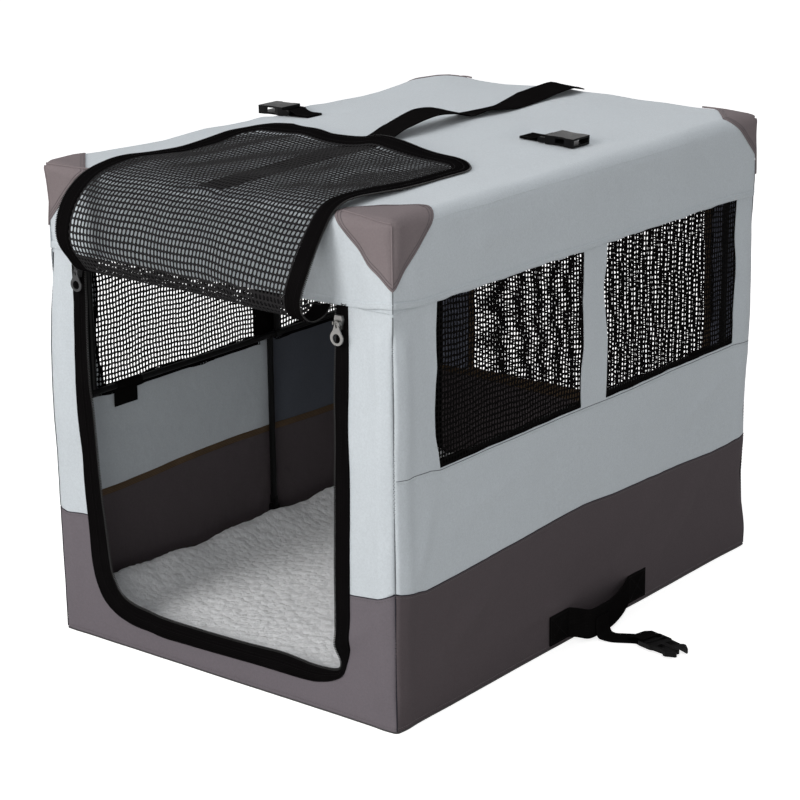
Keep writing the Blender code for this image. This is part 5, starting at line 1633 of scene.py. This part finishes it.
for name in NODES:
    if "leg" in name or name.endswith("_rail"):
        dress(name, steel_paint, 0.0)
    elif "frame_tab" in name:
        dress(name, black_web, 0.0002)
for side in ("left", "right"):
    dress("roof_buckle_" + side, plastic, 0.0006, 3)
    dress("male_buckle_" + side, plastic, 0.0005, 3)
    dress("zip_slider_" + side, ZIP_METALS[side])
    zip_pull(side)


# ---------------------------------------------------------------- camera, light and floor
HEADING, TILT, ROLL = math.radians(38.29), math.radians(17.09), math.radians(-0.59)


def make_camera():
    """The camera that the photograph's corners fix."""
    look = Vector((-math.sin(HEADING) * math.cos(TILT), math.cos(HEADING) * math.cos(TILT), -math.sin(TILT)))
    level = Vector((math.cos(HEADING), math.sin(HEADING), 0))
    upward = level.cross(look)
    right = level * math.cos(ROLL) + upward * math.sin(ROLL)
    upward = upward * math.cos(ROLL) - level * math.sin(ROLL)
    camera = put("camera", bpy.data.cameras.new("camera"))
    camera.data.lens, camera.data.sensor_width = 108.04, 36.0
    camera.data.clip_start, camera.data.clip_end = 0.05, 60
    turned = Matrix((right, upward, -look)).transposed().to_4x4()
    turned.translation = (1.86005, -2.39412, 1.19269)
    camera.matrix_world = turned
    bpy.context.scene.camera = camera


def area_light(name, place, height, size, watts, colour=(1, 1, 1)):
    """A soft box that looks at a height over the middle of the crate."""
    light = bpy.data.lights.new(name, "AREA")
    light.shape = "RECTANGLE"
    light.size, light.size_y = size
    light.energy, light.color = watts, colour
    obj = put(name, light)
    obj.location = place
    obj.rotation_euler = (Vector((0, 0, height)) - Vector(place)).to_track_quat("-Z", "Y").to_euler()


def flat_backdrop(nodes, seen, lit, output):
    """White to the camera, in glossy and in see-through paths, and its own colour for the rest."""
    path = nodes.add("LightPath").node.outputs
    share = path["Is Camera Ray"]
    for other in ("Is Glossy Ray", "Is Transmission Ray"):
        share = nodes.calc("MAXIMUM", share, path[other])
    shown = nodes.add("MixShader", {0: share, 1: lit, 2: seen})
    nodes.feed(nodes.tree.nodes[output], {"Surface": shown})


WHITE = (1.0, 1.0, 1.0, 1)


def make_studio():
    """Even light from all round, white where the camera sees past the crate."""
    studio = Nodes(bpy.data.worlds.new("studio"))
    bpy.context.scene.world = studio.owner
    ambient = studio.tree.nodes["Background"]
    studio.feed(ambient, {"Color": (0.95, 0.97, 1.0, 1), "Strength": 0.36})
    plain = studio.add("Background", {"Color": WHITE, "Strength": 1.0})
    flat_backdrop(studio, plain, ambient.outputs[0], "World Output")


def make_ground():
    """A pale floor that takes shadows and shows white."""
    pale_floor = Nodes(bpy.data.materials.new("pale_floor"))
    matt = pale_floor.material(Base_Color=(0.72, 0.715, 0.70, 1), Roughness=0.75, Specular_IOR_Level=0.2)
    ground = new_object("ground", [(-9, -9, 0), (9, -9, 0), (9, 9, 0), (-9, 9, 0)], [(0, 1, 2, 3)], matt)
    lit = pale_floor.tree.nodes["Principled BSDF"].outputs[0]
    glow = pale_floor.add("Emission", {"Color": WHITE, "Strength": 0.74})
    bright = pale_floor.add("AddShader", {0: lit, 1: glow})
    flat_backdrop(pale_floor, bright, lit, "Material Output")


make_camera()
area_light("key", (-0.6, -3.5, 1.9), 0.3, (1.7, 1.7), 73, (1.0, 0.99, 0.98))
area_light("side_key", (1.5, -3.3, 1.6), 0.3, (1.4, 1.4), 23, (1.0, 0.99, 0.98))
area_light("top", (0.0, -0.2, 2.9), 0.0, (2.4, 2.4), 19)
area_light("fill", (3.2, -0.8, 1.4), 0.3, (1.8, 1.8), 6, (0.96, 0.98, 1.0))
area_light("back", (-0.6, 3.2, 1.6), 0.3, (2.0, 1.4), 12)
make_studio()
make_ground()
bpy.context.scene.view_settings.view_transform = "Standard"
